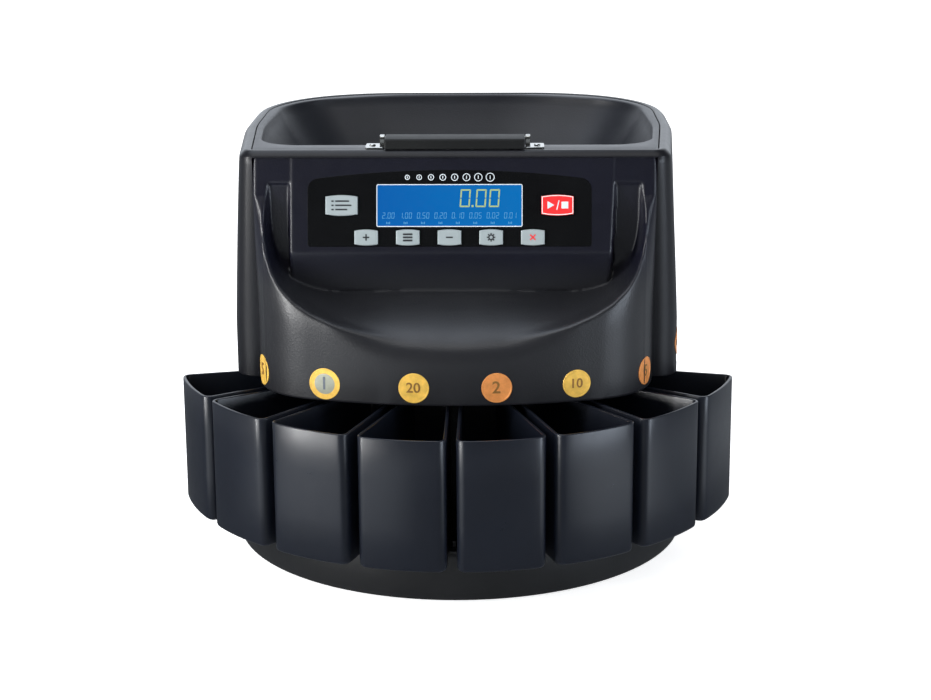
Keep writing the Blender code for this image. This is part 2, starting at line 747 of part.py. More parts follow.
# ------------------------------------------------------------------ sorting drive
def build_drive():
    plate = solid([level(circle(PLATE_R, 64), PLATE_Z),
                   level(circle(PLATE_R, 64), PLATE_Z + PLATE_T)])
    cut(plate, rod(7.5, PLATE_Z - 5, PLATE_Z + 8, seg=20))
    for i, size in enumerate(COIN_DIAMETERS):
        angle = math.radians(((CUP_COUNT - 1) / 2 - i) * CUP_PITCH)
        half = size / 2 + 0.3
        slot = [(half, -PLATE_R - 8), (half, -HOLE_R + half), (-half, -HOLE_R + half),
                (-half, -PLATE_R - 8)]
        spin = Matrix.Rotation(angle, 2)
        turned = [tuple(spin @ Vector(p)) for p in slot]
        cut(plate, solid([level(turned, PLATE_Z - 5), level(turned, PLATE_Z + 9)]))
    publish(plate, "sorting_plate", "aluminium")
    rail_in, rail_out = PLATE_R + GAP, PLATE_R + 2.5
    rail = solid([level(circle(rail_out, 64), PLATE_Z), level(circle(rail_out, 64), PLATE_Z + 7.0),
                  level(circle(rail_in, 64), PLATE_Z + 7.0), level(circle(rail_in, 64), PLATE_Z)],
                 True)
    publish(rail, "coin_rail", "aluminium")

    disc = solid([level(circle(DISC_R - 0.8, 56), DISC_Z), level(circle(DISC_R, 56), DISC_Z + 0.8),
                  level(circle(DISC_R, 56), DISC_Z + 3.4), level(circle(22, 56), DISC_Z + 4.4),
                  level(circle(16, 56), DISC_Z + 9.0), level(circle(5, 56), DISC_Z + 12.0)])
    for k in range(6):
        spin = Matrix.Rotation(math.radians(60 * k), 2)
        rib = [tuple(spin @ Vector(p)) for p in ((20, -1.5), (80, -1.5), (80, 1.5), (20, 1.5))]
        join(disc, solid([level(rib, DISC_Z + 1.5), level(rib, DISC_Z + 6.4)]))
    join(disc, rod(5.0, 101.0, DISC_Z + 2, seg=16))
    publish(disc, "coin_disc", "steel", (0, 0, DISC_Z))

    bearing = solid([level(circle(8.7, 20), 121.0), level(circle(8.7, 20), 126.0),
                     level(circle(5.3, 20), 126.0), level(circle(5.3, 20), 121.0)], True)
    publish(bearing, "disc_bearing", "brass")

    z0, z1 = PULLEY_Z, PULLEY_Z + PULLEY_H

    def pulley(r, bore, cy):
        seg = 36 if r > 20 else 20
        rings = [level(circle(r + 2.0, seg, 0, cy), z0 - 1.6),
                 level(circle(r + 2.0, seg, 0, cy), z0 - 0.4),
                 level(circle(r, seg, 0, cy), z0 - 0.4), level(circle(r, seg, 0, cy), z1 + 0.4),
                 level(circle(r + 2.0, seg, 0, cy), z1 + 0.4),
                 level(circle(r + 2.0, seg, 0, cy), z1 + 1.6),
                 level(circle(bore, seg, 0, cy), z1 + 1.6),
                 level(circle(bore, seg, 0, cy), z0 - 1.6)]
        return solid(rings, True)

    publish(pulley(DISC_PULLEY_R, 5.3, 0), "disc_pulley", "nylon", (0, 0, PULLEY_Z))
    publish(pulley(MOTOR_PULLEY_R, 3.3, MOTOR_Y), "motor_pulley", "nylon", (0, MOTOR_Y, PULLEY_Z))

    def belt_ring(extra):
        big = DISC_PULLEY_R + extra
        small = MOTOR_PULLEY_R + extra
        lean = math.asin((big - small) / MOTOR_Y)
        out = []
        for k in range(25):
            a = math.pi - lean + (math.pi + 2 * lean) * k / 24
            out.append((big * math.cos(a), big * math.sin(a)))
        for k in range(13):
            a = lean + (math.pi - 2 * lean) * k / 12
            out.append((small * math.cos(a), MOTOR_Y + small * math.sin(a)))
        return out

    outer, inner = belt_ring(1.6), belt_ring(0.35)
    belt = solid([level(outer, z0), level(outer, z1), level(inner, z1), level(inner, z0)], True)
    publish(belt, "drive_belt", "belt")

    motor = rod(22.0, 46.0, 102.6, 0, MOTOR_Y, 32)
    join(motor, rod(7.0, 42.0, 50.0, 0, MOTOR_Y, 20))
    cut(motor, rod(3.4, 84.0, 110.0, 0, MOTOR_Y, 16))
    publish(motor, "drive_motor", "steel", (0, MOTOR_Y, 46.0))
    publish(rod(3.0, 84.3, 117.5, 0, MOTOR_Y, 16), "motor_shaft", "steel", (0, MOTOR_Y, PULLEY_Z))

    bracket = block(-30, 30, MOTOR_Y - 30, MOTOR_Y + 30, 102.9, 105.0)
    cut(bracket, rod(8.0, 95, 112, 0, MOTOR_Y, 20))
    for x in (-27.0, 27.0):
        for y in (MOTOR_Y - 27.0, MOTOR_Y + 27.0):
            join(bracket, rod(3.0, 104.0, 120.0, x, y, 10))
    publish(bracket, "motor_bracket", "aluminium")

    sensor = block(90, 112, -12, 12, 136.0, PLATE_Z - GAP)
    publish(sensor, "coin_sensor", "gloss")
    arc_out = [radial(a, 86.0) for a in range(-75, 76, 15)]
    arc_in = [radial(a, 77.0) for a in range(75, -76, -15)]
    board = solid([level(arc_out + arc_in, 126.6), level(arc_out + arc_in, 128.2)])
    for i in range(CUP_COUNT):
        angle = (i - (CUP_COUNT - 1) / 2) * CUP_PITCH
        x, y = radial(angle, 83.0)
        join(board, rod(2.4, 127.0, 133.0, x, y, 8))
    publish(board, "counter_board", "board")


# ------------------------------------------------------------------ electronics and rear panel
def build_electronics():
    board = block(36, 114, 36, 108, 41.0, 42.6)
    for x in (41.0, 109.0):
        for y in (41.0, 103.0):
            join(board, rod(2.5, BASE_TOP + GAP + 3.3, 42.0, x, y, 8))
    join(board, block(60, 80, 60, 80, 42.0, 45.4), block(84, 106, 80, 92, 42.0, 54.0),
         block(46, 54, 84, 98, 42.0, 52.0))
    join(board, rod(6.0, 42.0, 60.0, 100, 62, 16))
    publish(board, "main_board", "board")

    supply = block(-116, -50, 30, 104, BASE_TOP + GAP + 3.3, 78.0)
    for k in range(6):
        x = -108 + k * 9.5
        cut(supply, block(x, x + 4, 42, 92, 77.0, 80.0))
    publish(supply, "power_supply", "aluminium")

    panel = block(-50, 50, 141.4, 143.8, 134, 174)
    cut(panel, block(-40.4, -11.6, 136, 150, 142.6, 165.4))
    cut(panel, block(-5.4, 9.4, 136, 150, 143.6, 164.4))
    cut(panel, block(17.6, 31.4, 136, 150, 146.6, 161.4))
    cut(panel, block(34.6, 44.4, 136, 150, 148.6, 159.4))
    publish(panel, "connector_panel", "steel")

    inlet = block(-40, -12, 124, 148.6, 143, 165)
    socket = [(-37, 146.5), (-15, 146.5), (-15, 157), (-20, 161.5), (-32, 161.5), (-37, 157)]
    cut(inlet, solid([[(x, 132.0, z) for x, z in socket], [(x, 152.0, z) for x, z in socket]]))
    for x, z in ((-31.5, 151.0), (-20.5, 151.0), (-26.0, 156.4)):
        join(inlet, block(x - 1.0, x + 1.0, 130.0, 145.5, z - 2.2, z + 2.2))
    publish(inlet, "power_inlet", "gloss")

    frame = block(-5, 9, 130, 148.6, 144, 164)
    cut(frame, block(-3.2, 7.2, 136, 152, 145.9, 162.1))
    publish(frame, "power_switch_frame", "gloss")
    profile = [(139.0, 148.0), (148.2, 148.0), (149.7, 149.2), (147.4, 154.0), (147.6, 160.0),
               (139.0, 160.0)]
    rocker = solid([[(x, y, z) for y, z in profile] for x in (-2.7, 6.7)])
    publish(rocker, "power_rocker", "key_red", (2.0, 142.0, 154.0))

    for name, x0, x1, z0, z1 in (("printer_port", 18, 31, 147, 161), ("display_port", 35, 44, 149, 159)):
        port = block(x0, x1, 132, 148.2, z0, z1)
        inset_x = 1.6
        cut(port, block(x0 + inset_x, x1 - inset_x, 136, 152, z0 + 1.6, z1 - 2.0))
        publish(port, name, "gloss")


build_base()
build_cups()
build_rear_body()
build_deck()
build_shell()
build_front_cover()
build_panel()
build_hopper()
build_drive()
build_electronics()
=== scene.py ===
import json
import math

import bmesh
import bpy
import numpy as np
from mathutils import Matrix, Vector


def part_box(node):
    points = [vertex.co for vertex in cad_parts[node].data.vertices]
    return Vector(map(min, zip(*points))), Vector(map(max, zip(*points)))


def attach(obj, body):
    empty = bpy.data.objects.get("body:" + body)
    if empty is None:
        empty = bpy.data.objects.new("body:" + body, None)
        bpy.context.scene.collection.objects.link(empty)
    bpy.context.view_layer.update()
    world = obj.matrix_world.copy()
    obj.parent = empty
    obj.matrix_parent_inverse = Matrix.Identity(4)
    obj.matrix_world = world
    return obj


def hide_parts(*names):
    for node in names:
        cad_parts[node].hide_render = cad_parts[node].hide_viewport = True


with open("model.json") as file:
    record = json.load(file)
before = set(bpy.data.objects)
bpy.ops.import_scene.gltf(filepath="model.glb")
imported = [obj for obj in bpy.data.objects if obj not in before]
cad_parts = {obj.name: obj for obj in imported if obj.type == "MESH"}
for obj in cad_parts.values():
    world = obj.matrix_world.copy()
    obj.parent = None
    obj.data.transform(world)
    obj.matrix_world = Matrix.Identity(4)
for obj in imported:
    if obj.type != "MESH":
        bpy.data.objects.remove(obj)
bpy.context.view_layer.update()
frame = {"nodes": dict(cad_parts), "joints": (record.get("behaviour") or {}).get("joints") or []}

# shapes are written in millimetres about the vertical axis of the sorting disc
MM = 0.001
AXIS_Y = [j for j in frame["joints"] if j["name"] == "disc_spin"][0]["pos_m"][1]

WALL = 3.0
SHELL_BOTTOM = 120.0
RIM_OUTLINE_Z = 262.5
RIM_TOP = 266.0
COVER_BOTTOM = 119.4
COVER_TOP = 261.7
DRUM_HALF_W = 123.6
DRUM_FLARE = 1.4
DRUM_LEAN_Z = 172.0
DRUM_LEAN_RUN = 68.0
BASE_BOTTOM = 0.4
BASE_TOP = 32.3
BASE_R = 147.8
FOOT_ANGLES = (-45, 45, 135, 225)
FOOT_R = 128.0
CUP_BOTTOM = 32.6
CUP_TOP = 115.5
CUP_COUNT = 8
CUP_PITCH = 19.1
CUP_OUTER_R = 184.05
CUP_INNER_R = 91.0
CUP_CROWN = 0.6
CUP_HALF_GAP = 2.9
CUP_WALL = 1.9
PANEL_LEAN = math.radians(15.6)
PANEL_TOP_Y = -69.0
PANEL_TOP_Z = 262.0
PANEL_X = -3.0
PANEL_HALF_W = 87.6
LCD_HALF_W = 44.9
LCD_LOW = -42.6
LCD_HIGH = -16.6
KEY_UPPER = -29.5
KEY_LOWER = -49.3
ICON_LOW = 1.86
ICON_HIGH = 1.98
HINGE_Y = -49.6
HINGE_Z = 270.5
# place in millimetres, then yaw, pitch and roll in degrees, fitted to the outlines of the photograph
CAMERA = (40.4, -1448.8, 535.8, -1.424, 16.06, -0.388)
CAMERA_LENS = 87.93


# ---------------------------------------------------------------- outlines
def rounded(corners, seg):
    """Closed loop from corners (x, y, radius[, steps])."""
    out = []
    for i, (x, y, r, *own) in enumerate(corners):
        steps = own[0] if own else seg
        p = Vector((x, y))
        da = (Vector(corners[i - 1][:2]) - p).normalized()
        db = (Vector(corners[(i + 1) % len(corners)][:2]) - p).normalized()
        if r <= 0:
            out.append((x, y))
            continue
        half = da.angle(db) / 2
        centre = p + (da + db).normalized() * (r / math.sin(half))
        start = p + da * (r / math.tan(half)) - centre
        end = p + db * (r / math.tan(half)) - centre
        turn = start.angle_signed(end)
        for k in range(steps + 1):
            q = centre + Matrix.Rotation(-turn * k / steps, 2) @ start
            out.append((q.x, q.y))
    return out


def inset(loop, d):
    if not d:
        return loop
    out = []
    for i in range(len(loop)):
        p = Vector(loop[i])
        e1 = (p - Vector(loop[i - 1])).normalized()
        e2 = (Vector(loop[(i + 1) % len(loop)]) - p).normalized()
        n1 = Vector((-e1.y, e1.x))
        n = (n1 + Vector((-e2.y, e2.x))).normalized()
        q = p + n * (d / max(0.4, n.dot(n1)))
        out.append((q.x, q.y))
    return out


def hull(points):
    """Convex outline round the points."""
    points = sorted(points)
    halves = []
    for ordered in (points, points[::-1]):
        chain = []
        for p in ordered:
            while len(chain) > 1:
                a, b = chain[-2], chain[-1]
                if (b[0] - a[0]) * (p[1] - a[1]) - (b[1] - a[1]) * (p[0] - a[0]) > 0:
                    break
                chain.pop()
            chain.append(p)
        halves.append(chain[:-1])
    return halves[0] + halves[1]


def circle(r, seg=64, cx=0.0, cy=0.0):
    return [(cx + r * math.cos(2 * math.pi * i / seg), cy + r * math.sin(2 * math.pi * i / seg))
            for i in range(seg)]


def rect(x0, x1, y0, y1, r=0.0, seg=5):
    return rounded([(x0, y0, r), (x1, y0, r), (x1, y1, r), (x0, y1, r)], seg)


def level(loop, z):
    return [(x, y, z) for x, y in loop]


def radial(angle, r):
    return r * math.sin(math.radians(angle)), -r * math.cos(math.radians(angle))


PANEL_UP = Vector((0, math.sin(PANEL_LEAN), math.cos(PANEL_LEAN)))
PANEL_OUT = Vector((0, -math.cos(PANEL_LEAN), math.sin(PANEL_LEAN)))
PANEL_ORIGIN = Vector((0, PANEL_TOP_Y, PANEL_TOP_Z))


def on_panel(x, s, d):
    """A point x across, s up and d out from the leaning panel."""
    p = PANEL_ORIGIN + PANEL_UP * s + PANEL_OUT * d
    return x + PANEL_X, p.y, p.z


def panel_level(loop, d):
    return [on_panel(x, s, d) for x, s in loop]


def panel_face(z):
    return PANEL_TOP_Y - math.tan(PANEL_LEAN) * (PANEL_TOP_Z - z)


def mirrored(half):
    """A loop from its right half, written from front to rear."""
    return [(-x, y, *more) for x, y, *more in half[:1]] + half + [
        (-x, y, *more) for x, y, *more in half[:0:-1]]


def housing_outline(z, d=0.0):
    t = min(1.0, max(0.0, (RIM_TOP - z) / 111.0))
    t = min(1.0, t * (1.25 - 0.25 * t))
    half = [(133.2 + 6.4 * t, -70 + 4 * t, 11 + 3 * t, 20), (139.6 + 4.3 * t, 22.0, 240.0, 8),
            (133.8 + 4.2 * t + 2.6, 125.5, 80.0, 28), (64.0, 150.6, 110.0, 12)]
    return inset(rounded(mirrored(half), 5), d)


def drum_outline(z, seg=36):
    t = (z - DRUM_LEAN_Z) / DRUM_LEAN_RUN
    t = min(1.0, (t + math.sqrt(t * t + 0.018)) / 2)
    lean = panel_face(z) + 0.6
    half_w = DRUM_HALF_W + DRUM_FLARE * t
    corner_y = -103.5 + (lean + 103.5) * t
    front_y = -127.0 + (lean - 0.25 + 127.0) * t
    corner_r = 47.0 - 44.5 * t
    return rounded([(half_w, -50.0, 0), (-half_w, -50.0, 0), (-half_w, corner_y, corner_r),
                    (-40.0, front_y, 284.0), (40.0, front_y, 284.0), (half_w, corner_y, corner_r)], seg)


# ---------------------------------------------------------------- mesh building
def solid(rings, loop_closed=False):
    """Skin over a row of equal rings: capped at both ends, or joined round."""
    bm = bmesh.new()
    rows = [[bm.verts.new(p) for p in ring] for ring in rings]
    pairs = list(zip(rows, rows[1:]))
    if loop_closed:
        pairs.append((rows[-1], rows[0]))
    for low, high in pairs:
        n = len(low)
        for i in range(n):
            j = (i + 1) % n
            bm.faces.new((low[i], low[j], high[j], high[i]))
    if not loop_closed:
        bm.faces.new(list(reversed(rows[0])))
        bm.faces.new(rows[-1])
    bmesh.ops.recalc_face_normals(bm, faces=bm.faces)
    return from_bmesh(bm)


def from_bmesh(bm):
    mesh = bpy.data.meshes.new("work")
    bm.to_mesh(mesh)
    bm.free()
    obj = bpy.data.objects.new("work", mesh)
    bpy.context.scene.collection.objects.link(obj)
    return obj


def block(x0, x1, y0, y1, z0, z1):
    return solid([level(rect(x0, x1, y0, y1), z0), level(rect(x0, x1, y0, y1), z1)])


def across(loop, x):
    return [(x, y, z) for y, z in loop]


def prism(loop, d0, d1):
    """A flat piece on the panel, from height d0 to d1."""
    return solid([panel_level(loop, d0), panel_level(loop, d1)])


def combine(target, operation, *tools):
    for tool in tools:
        mod = target.modifiers.new("combine", "BOOLEAN")
        mod.solver = "EXACT"
        mod.operation = operation
        mod.object = tool
        bpy.context.view_layer.update()
        graph = bpy.context.evaluated_depsgraph_get()
        result = bpy.data.meshes.new_from_object(target.evaluated_get(graph))
        target.modifiers.clear()
        target.data = result
        bpy.data.objects.remove(tool, do_unlink=True)
    return target


def merge(*objs):
    """Several loose shells as one piece."""
    bm = bmesh.new()
    for obj in objs:
        bm.from_mesh(obj.data)
        bpy.data.objects.remove(obj, do_unlink=True)
    return from_bmesh(bm)


def bevel(obj, width, segments=2, angle=30.0):
    mod = obj.modifiers.new("edge", "BEVEL")
    mod.width = width * MM
    mod.segments = segments
    mod.limit_method = "ANGLE"
    mod.angle_limit = math.radians(angle)
    mod.harden_normals = False


def publish(obj, name, mat, body, nodes=(), smooth=40.0, edge=0.0, tidy=True):
    """Millimetres about the axis become metres in the frame, and the piece rides on its body."""
    mesh = obj.data
    co = np.empty(len(mesh.vertices) * 3)
    mesh.vertices.foreach_get("co", co)
    co = co.reshape(-1, 3) * MM
    co[:, 1] += AXIS_Y
    mesh.vertices.foreach_set("co", co.ravel())
    if tidy:
        bm = bmesh.new()
        bm.from_mesh(mesh)
        bmesh.ops.remove_doubles(bm, verts=bm.verts, dist=0.000005)
        bmesh.ops.dissolve_degenerate(bm, edges=bm.edges, dist=0.000005)
        bm.to_mesh(mesh)
        bm.free()
    mesh.materials.clear()
    mesh.materials.append(mat)
    mesh.shade_smooth()
    mesh.set_sharp_from_angle(angle=math.radians(smooth))
    mesh.update()
    obj.name = name
    if edge:
        bevel(obj, edge)
    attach(obj, body)
    if nodes:
        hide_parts(*nodes)


# ---------------------------------------------------------------- materials
def feed(tree, node, inputs):
    """Sets or connects the inputs of a node."""
    for key, value in inputs.items():
        if isinstance(value, bpy.types.NodeSocket):
            tree.links.new(value, node.inputs[key])
        else:
            node.inputs[key].default_value = value


def add(tree, kind, inputs, out=0, **settings):
    """Adds a node and returns one of its outputs."""
    node = tree.nodes.new("ShaderNode" + kind)
    for key, value in settings.items():
        setattr(node, key, value)
    feed(tree, node, inputs)
    return node.outputs[out]


def compute(tree, operation, *values):
    return add(tree, "Math", dict(enumerate(values)), operation=operation)


def remap(tree, value, start, stop, low=0.0, high=1.0, curve="LINEAR"):
    return add(tree, "MapRange", {"Value": value, "From Min": start, "From Max": stop,
                                  "To Min": low, "To Max": high}, interpolation_type=curve)


def ramp(tree, factor, dark, light, start=0.0, stop=1.0):
    out = add(tree, "ValToRGB", {"Fac": factor})
    for element, place, colour in zip(out.node.color_ramp.elements, (start, stop), (dark, light)):
        element.position = place
        element.color = (*colour, 1)
    return out


def new_material(name):
    mat = bpy.data.materials.new(name)
    mat.use_nodes = True
    return mat, mat.node_tree, mat.node_tree.nodes["Principled BSDF"]


def look(name, colour, rough, metal=0.0, grain=0.0, grain_size=1.1, mottle=0.12, mottle_size=40.0,
         vary=0.06, wear=0.0, brushed=None, specular=0.5, glow=None, glow_strength=0.0, scratch=0.0,
         lower=None):
    """One finish. Sizes are in millimetres, and lower is a lighter colour for the piece's lower part:
    painted light standing in for the light on the lower drum and scoop.
    """
    mat, tree, shader = new_material(name)
    place = add(tree, "TexCoord", {}, "Object")

    def noise(scale, detail, vector=place, **more):
        return add(tree, "TexNoise", {"Vector": vector, "Scale": scale, "Detail": detail, **more})

    def bump(height, strength, distance, **more):
        return add(tree, "Bump", {"Height": height, "Strength": strength, "Distance": distance, **more})

    def blend(factor, first, second):
        return add(tree, "Mix", {"Factor": factor, "A": first, "B": (*second, 1)}, "Result",
                   data_type="RGBA")

    tone = ramp(tree, noise(1000.0 / mottle_size, 4.0, Roughness=0.6),
                [c * (1 - mottle) for c in colour], [min(1.0, c * (1 + mottle)) for c in colour], 0.3, 0.7)
    # painted light: from 0.205 m down to 0.180 m up the piece, the tone turns to the lighter lower colour,
    # standing in for the light on the lower drum and scoop
    if lower:
        height = add(tree, "SeparateXYZ", {0: place}, "Z")
        tone = blend(remap(tree, height, 0.205, 0.180, curve="SMOOTHSTEP"), tone, lower)
    if wear:
        edge = add(tree, "NewGeometry", {}, "Pointiness")
        worn = [min(1.0, c * 3.0 + 0.02) for c in colour]
        tone = blend(remap(tree, edge, 0.53, 0.62, 0.0, wear), tone, worn)
    polish = remap(tree, noise(1000.0 / 9.0, 5.0, Roughness=0.65), 0.0, 1.0,
                   max(0.03, rough - vary), min(1.0, rough + vary))

    if brushed:
        strokes = add(tree, "Mapping", {"Vector": place, "Scale": brushed})
        normal = bump(noise(1.0, 3.0, strokes), 0.25, 0.00005)
    elif grain:
        cells = add(tree, "TexVoronoi", {"Vector": place, "Scale": 1000.0 / grain_size, "Smoothness": 0.6},
                    "Distance", feature="SMOOTH_F1")
        dust = noise(1000.0 / (grain_size * 0.7), 3.0)
        normal = bump(compute(tree, "MULTIPLY_ADD", dust, 0.7, cells), grain, 0.0003)
    else:
        normal = bump(noise(1000.0 / 6.0, 2.0), 0.12, 0.00008)
    if scratch:
        hair = add(tree, "Mapping", {"Vector": place, "Scale": (160.0, 2600.0, 900.0),
                                     "Rotation": (0.2, 0.5, 0.7)})
        normal = bump(noise(1.0, 2.0, hair), scratch, 0.00004, Normal=normal)

    feed(tree, shader, {"Base Color": tone, "Roughness": polish, "Normal": normal, "Metallic": metal,
                        "Specular IOR Level": specular})
    if glow:
        feed(tree, shader, {"Emission Color": (*glow, 1), "Emission Strength": glow_strength})
    return mat


HOUSING = look("housing_grained", (0.0070, 0.0073, 0.0095), 0.31, grain=0.10, grain_size=1.0, wear=0.25,
               specular=0.32)
# the cover's lower part gets a lighter colour: painted light for the lit lower drum and scoop
COVER = look("cover_grained_painted_light_low", (0.0040, 0.0043, 0.0098), 0.34, grain=0.16, grain_size=1.15, wear=0.20,
             lower=(0.0112, 0.0117, 0.0140))
BOWL = look("hopper_grained", (0.0085, 0.0098, 0.0145), 0.40, grain=0.12, grain_size=1.0, wear=0.15)
CUP = look("cup_satin", (0.0046, 0.0062, 0.0110), 0.30, grain=0.05, grain_size=0.8, mottle=0.10,
           mottle_size=60.0, wear=0.35, scratch=0.05)
BASE = look("base_satin", (0.0085, 0.0090, 0.0100), 0.36, grain=0.08, wear=0.30)
HANDLE = look("handle_satin", (0.0058, 0.0063, 0.0065), 0.52, grain=0.06, wear=0.20, specular=0.2)
RUBBER = look("foot_rubber", (0.012, 0.012, 0.012), 0.85, grain=0.4, grain_size=0.6)
GLOSS = look("overlay_gloss", (0.0027, 0.0029, 0.0033), 0.22, mottle=0.2, vary=0.05, scratch=0.04,
             specular=0.34)
PORT = look("port_plastic", (0.010, 0.010, 0.012), 0.30, grain=0.10)
KEY = look("key_grey", (0.235, 0.273, 0.282), 0.38, grain=0.04, mottle=0.03, wear=0.2)
KEY_RED = look("key_red", (0.70, 0.016, 0.018), 0.34, grain=0.04, mottle=0.05)
KEY_RIM = look("key_border", (0.80, 0.62, 0.60), 0.40, mottle=0.03)
INK = look("ink_dark", (0.010, 0.012, 0.016), 0.55, mottle=0.2)
INK_RED = look("ink_red", (0.62, 0.015, 0.02), 0.50, mottle=0.1)
INK_WHITE = look("ink_white", (0.50, 0.55, 0.58), 0.50, mottle=0.06)
STEEL = look("brushed_steel", (0.60, 0.60, 0.61), 0.28, metal=1.0, brushed=(60.0, 3000.0, 3000.0),
             mottle=0.06)
TURNED = look("turned_steel", (0.62, 0.62, 0.63), 0.25, metal=1.0, brushed=(1500.0, 1500.0, 60.0),
              mottle=0.05)
ALUMINIUM = look("satin_aluminium", (0.70, 0.71, 0.73), 0.34, metal=1.0, brushed=(3000.0, 90.0, 3000.0),
                 mottle=0.05)
CHROME = look("polished_chrome", (0.48, 0.48, 0.46), 0.20, metal=1.0, mottle=0.04, scratch=0.08)
BRASS = look("sintered_bronze", (0.60, 0.42, 0.18), 0.40, metal=1.0, grain=0.2, grain_size=0.5)
BOARD = look("circuit_board", (0.015, 0.12, 0.05), 0.45, mottle=0.25, mottle_size=4.0, grain=0.15)
NYLON = look("natural_nylon", (0.66, 0.64, 0.57), 0.50, grain=0.06, mottle=0.06)
BELT = look("belt_rubber", (0.014, 0.014, 0.014), 0.75, grain=0.3, grain_size=0.7)
STRUCK = dict(metal=0.25, grain=0.12, grain_size=0.7, mottle_size=5.0)
GOLD = look("coin_gold", (0.76, 0.47, 0.085), 0.34, mottle=0.18, **STRUCK)
COPPER = look("coin_copper", (0.70, 0.27, 0.075), 0.34, mottle=0.18, **STRUCK)
SILVER = look("coin_silver", (0.32, 0.335, 0.27), 0.32, mottle=0.12, **STRUCK)
# painted shade: the coin numerals are coloured darker to stand in for the shade in the coin relief
PAINTED_SHADE_BRONZE = look("coin_shadow_bronze", (0.24, 0.12, 0.03), 0.40, metal=0.25, mottle=0.2, mottle_size=4.0)
PAINTED_SHADE_GREY = look("coin_shadow_grey", (0.12, 0.14, 0.17), 0.40, metal=0.25, mottle=0.2, mottle_size=4.0)


# ---------------------------------------------------------------- base, rear body, cups
def make_base():
    rear = [p for p in housing_outline(120.0, 1.2) if p[1] > 60.0]
    outline = hull(circle(BASE_R, 160) + rear)
    profile = ((5.5, 25.3), (5.5, BASE_BOTTOM + 0.4), (5.1, BASE_BOTTOM), (1.4, BASE_BOTTOM),
               (0.5, BASE_BOTTOM + 0.4), (0.0, BASE_BOTTOM + 1.6), (0.0, 16.0), (0.0, BASE_TOP - 3.6),
               (0.25, BASE_TOP - 2.3), (1.0, BASE_TOP - 1.2), (2.0, BASE_TOP - 0.4), (3.2, BASE_TOP),
               (5.5, BASE_TOP))
    body = solid([level(inset(outline, d), z) for d, z in profile])
    ribs = [solid([level(circle(11.0, 40, *radial(a, FOOT_R)), z) for z in (2.7, 26.0)])
            for a in FOOT_ANGLES]
    for i in range(CUP_COUNT + 1):
        turn = Matrix.Rotation(math.radians((i - CUP_COUNT / 2) * CUP_PITCH), 2)
        loop = [tuple(turn @ Vector(p)) for p in rect(-1.3, 1.3, -139.0, -93.0, 1.0, 3)]
        ribs.append(solid([level(loop, BASE_TOP - 1.5), level(loop, BASE_TOP + 3.7),
                           level(inset(loop, 0.3), BASE_TOP + 4.0)]))
    publish(merge(body, *ribs), "base_plinth_shell", BASE, "housing", ["base_plinth"])
    for i, angle in enumerate(FOOT_ANGLES):
        x, y = radial(angle, FOOT_R)
        rings = [level(circle(r, 36, x, y), z) for r, z in
                 ((8.2, 0.0), (8.7, 0.15), (9.0, 0.6), (9.0, 2.0), (8.8, 2.4))]
        publish(solid(rings), f"foot_pad_{i + 1}", RUBBER, "housing", [f"rubber_foot_{i + 1}"])


def cup_outline(angle, seg=8):
    half = math.radians(CUP_PITCH / 2)
    side = Vector((math.sin(half), -math.cos(half)))
    shift = Vector((-math.cos(half), -math.sin(half))) * CUP_HALF_GAP
    outer = side * math.sqrt((CUP_OUTER_R - CUP_CROWN) ** 2 - CUP_HALF_GAP ** 2) + shift
    inner = side * math.sqrt(CUP_INNER_R ** 2 - CUP_HALF_GAP ** 2) + shift
    reach = math.atan2(outer.x, -outer.y)
    corners = [(-outer.x, outer.y, 5.5)]
    for k in range(3, 18):
        a = reach * (k / 10 - 1)
        r = CUP_OUTER_R - CUP_CROWN * (a / reach) ** 2
        corners.append((r * math.sin(a), -r * math.cos(a), 0))
    corners += [(outer.x, outer.y, 5.5), (inner.x, inner.y, 3.0), (-inner.x, inner.y, 3.0)]
    spin = Matrix.Rotation(math.radians(-angle), 2)
    return [tuple(spin @ Vector(p)) for p in rounded(corners, seg)]


def make_cups():
    w, low, top = CUP_WALL, CUP_BOTTOM, CUP_TOP
    profile = [(6.0, low), (2.6, low), (1.6, low + 0.25), (0.8, low + 0.8), (0.25, low + 1.7),
               (0.0, low + 2.8), (0.0, 60.0), (0.0, 90.0), (0.0, top - 0.55), (0.16, top - 0.16),
               (0.55, top), (w - 0.55, top), (w - 0.16, top - 0.16), (w, top - 0.55), (w, 80.0),
               (w, low + 4.2), (w + 0.5, low + 3.1), (w + 1.6, low + 2.4)]
    for i in range(CUP_COUNT):
        loop = cup_outline(-(i - (CUP_COUNT - 1) / 2) * CUP_PITCH)
        rings = [level(inset(loop, d), z) for d, z in profile]
        publish(solid(rings), f"cup_shell_{i + 1}", CUP, f"coin_cup_{i + 1}", [f"coin_cup_{i + 1}"],
                smooth=50.0)


def make_rear_body():
    rear = [p for p in housing_outline(130.0, 1.6) if p[1] > -28.0]
    rear.sort(key=lambda p: math.atan2(p[0], -p[1]))
    reach, pocket_r = 78.8, 86.0
    edge = radial(reach, 145.0)
    loop = [(-edge[0], edge[1])] + [radial(reach * (k / 30 - 1), pocket_r) for k in range(61)] + [edge]
    loop += [p for p in rear if p[0] > 0] + [p for p in rear if p[0] < 0]
    inner = inset(loop, 3.0)
    rings = [level(inset(loop, 0.5), 32.6), level(loop, 33.1), level(loop, 76.0), level(loop, 119.2),
             level(inset(loop, 0.5), 119.7), level(inner, 119.7), level(inner, 60.0),
             level(inset(loop, 3.02), 35.6)]
    publish(solid(rings), "rear_body_shell", BASE, "housing", ["rear_body"], smooth=30.0)


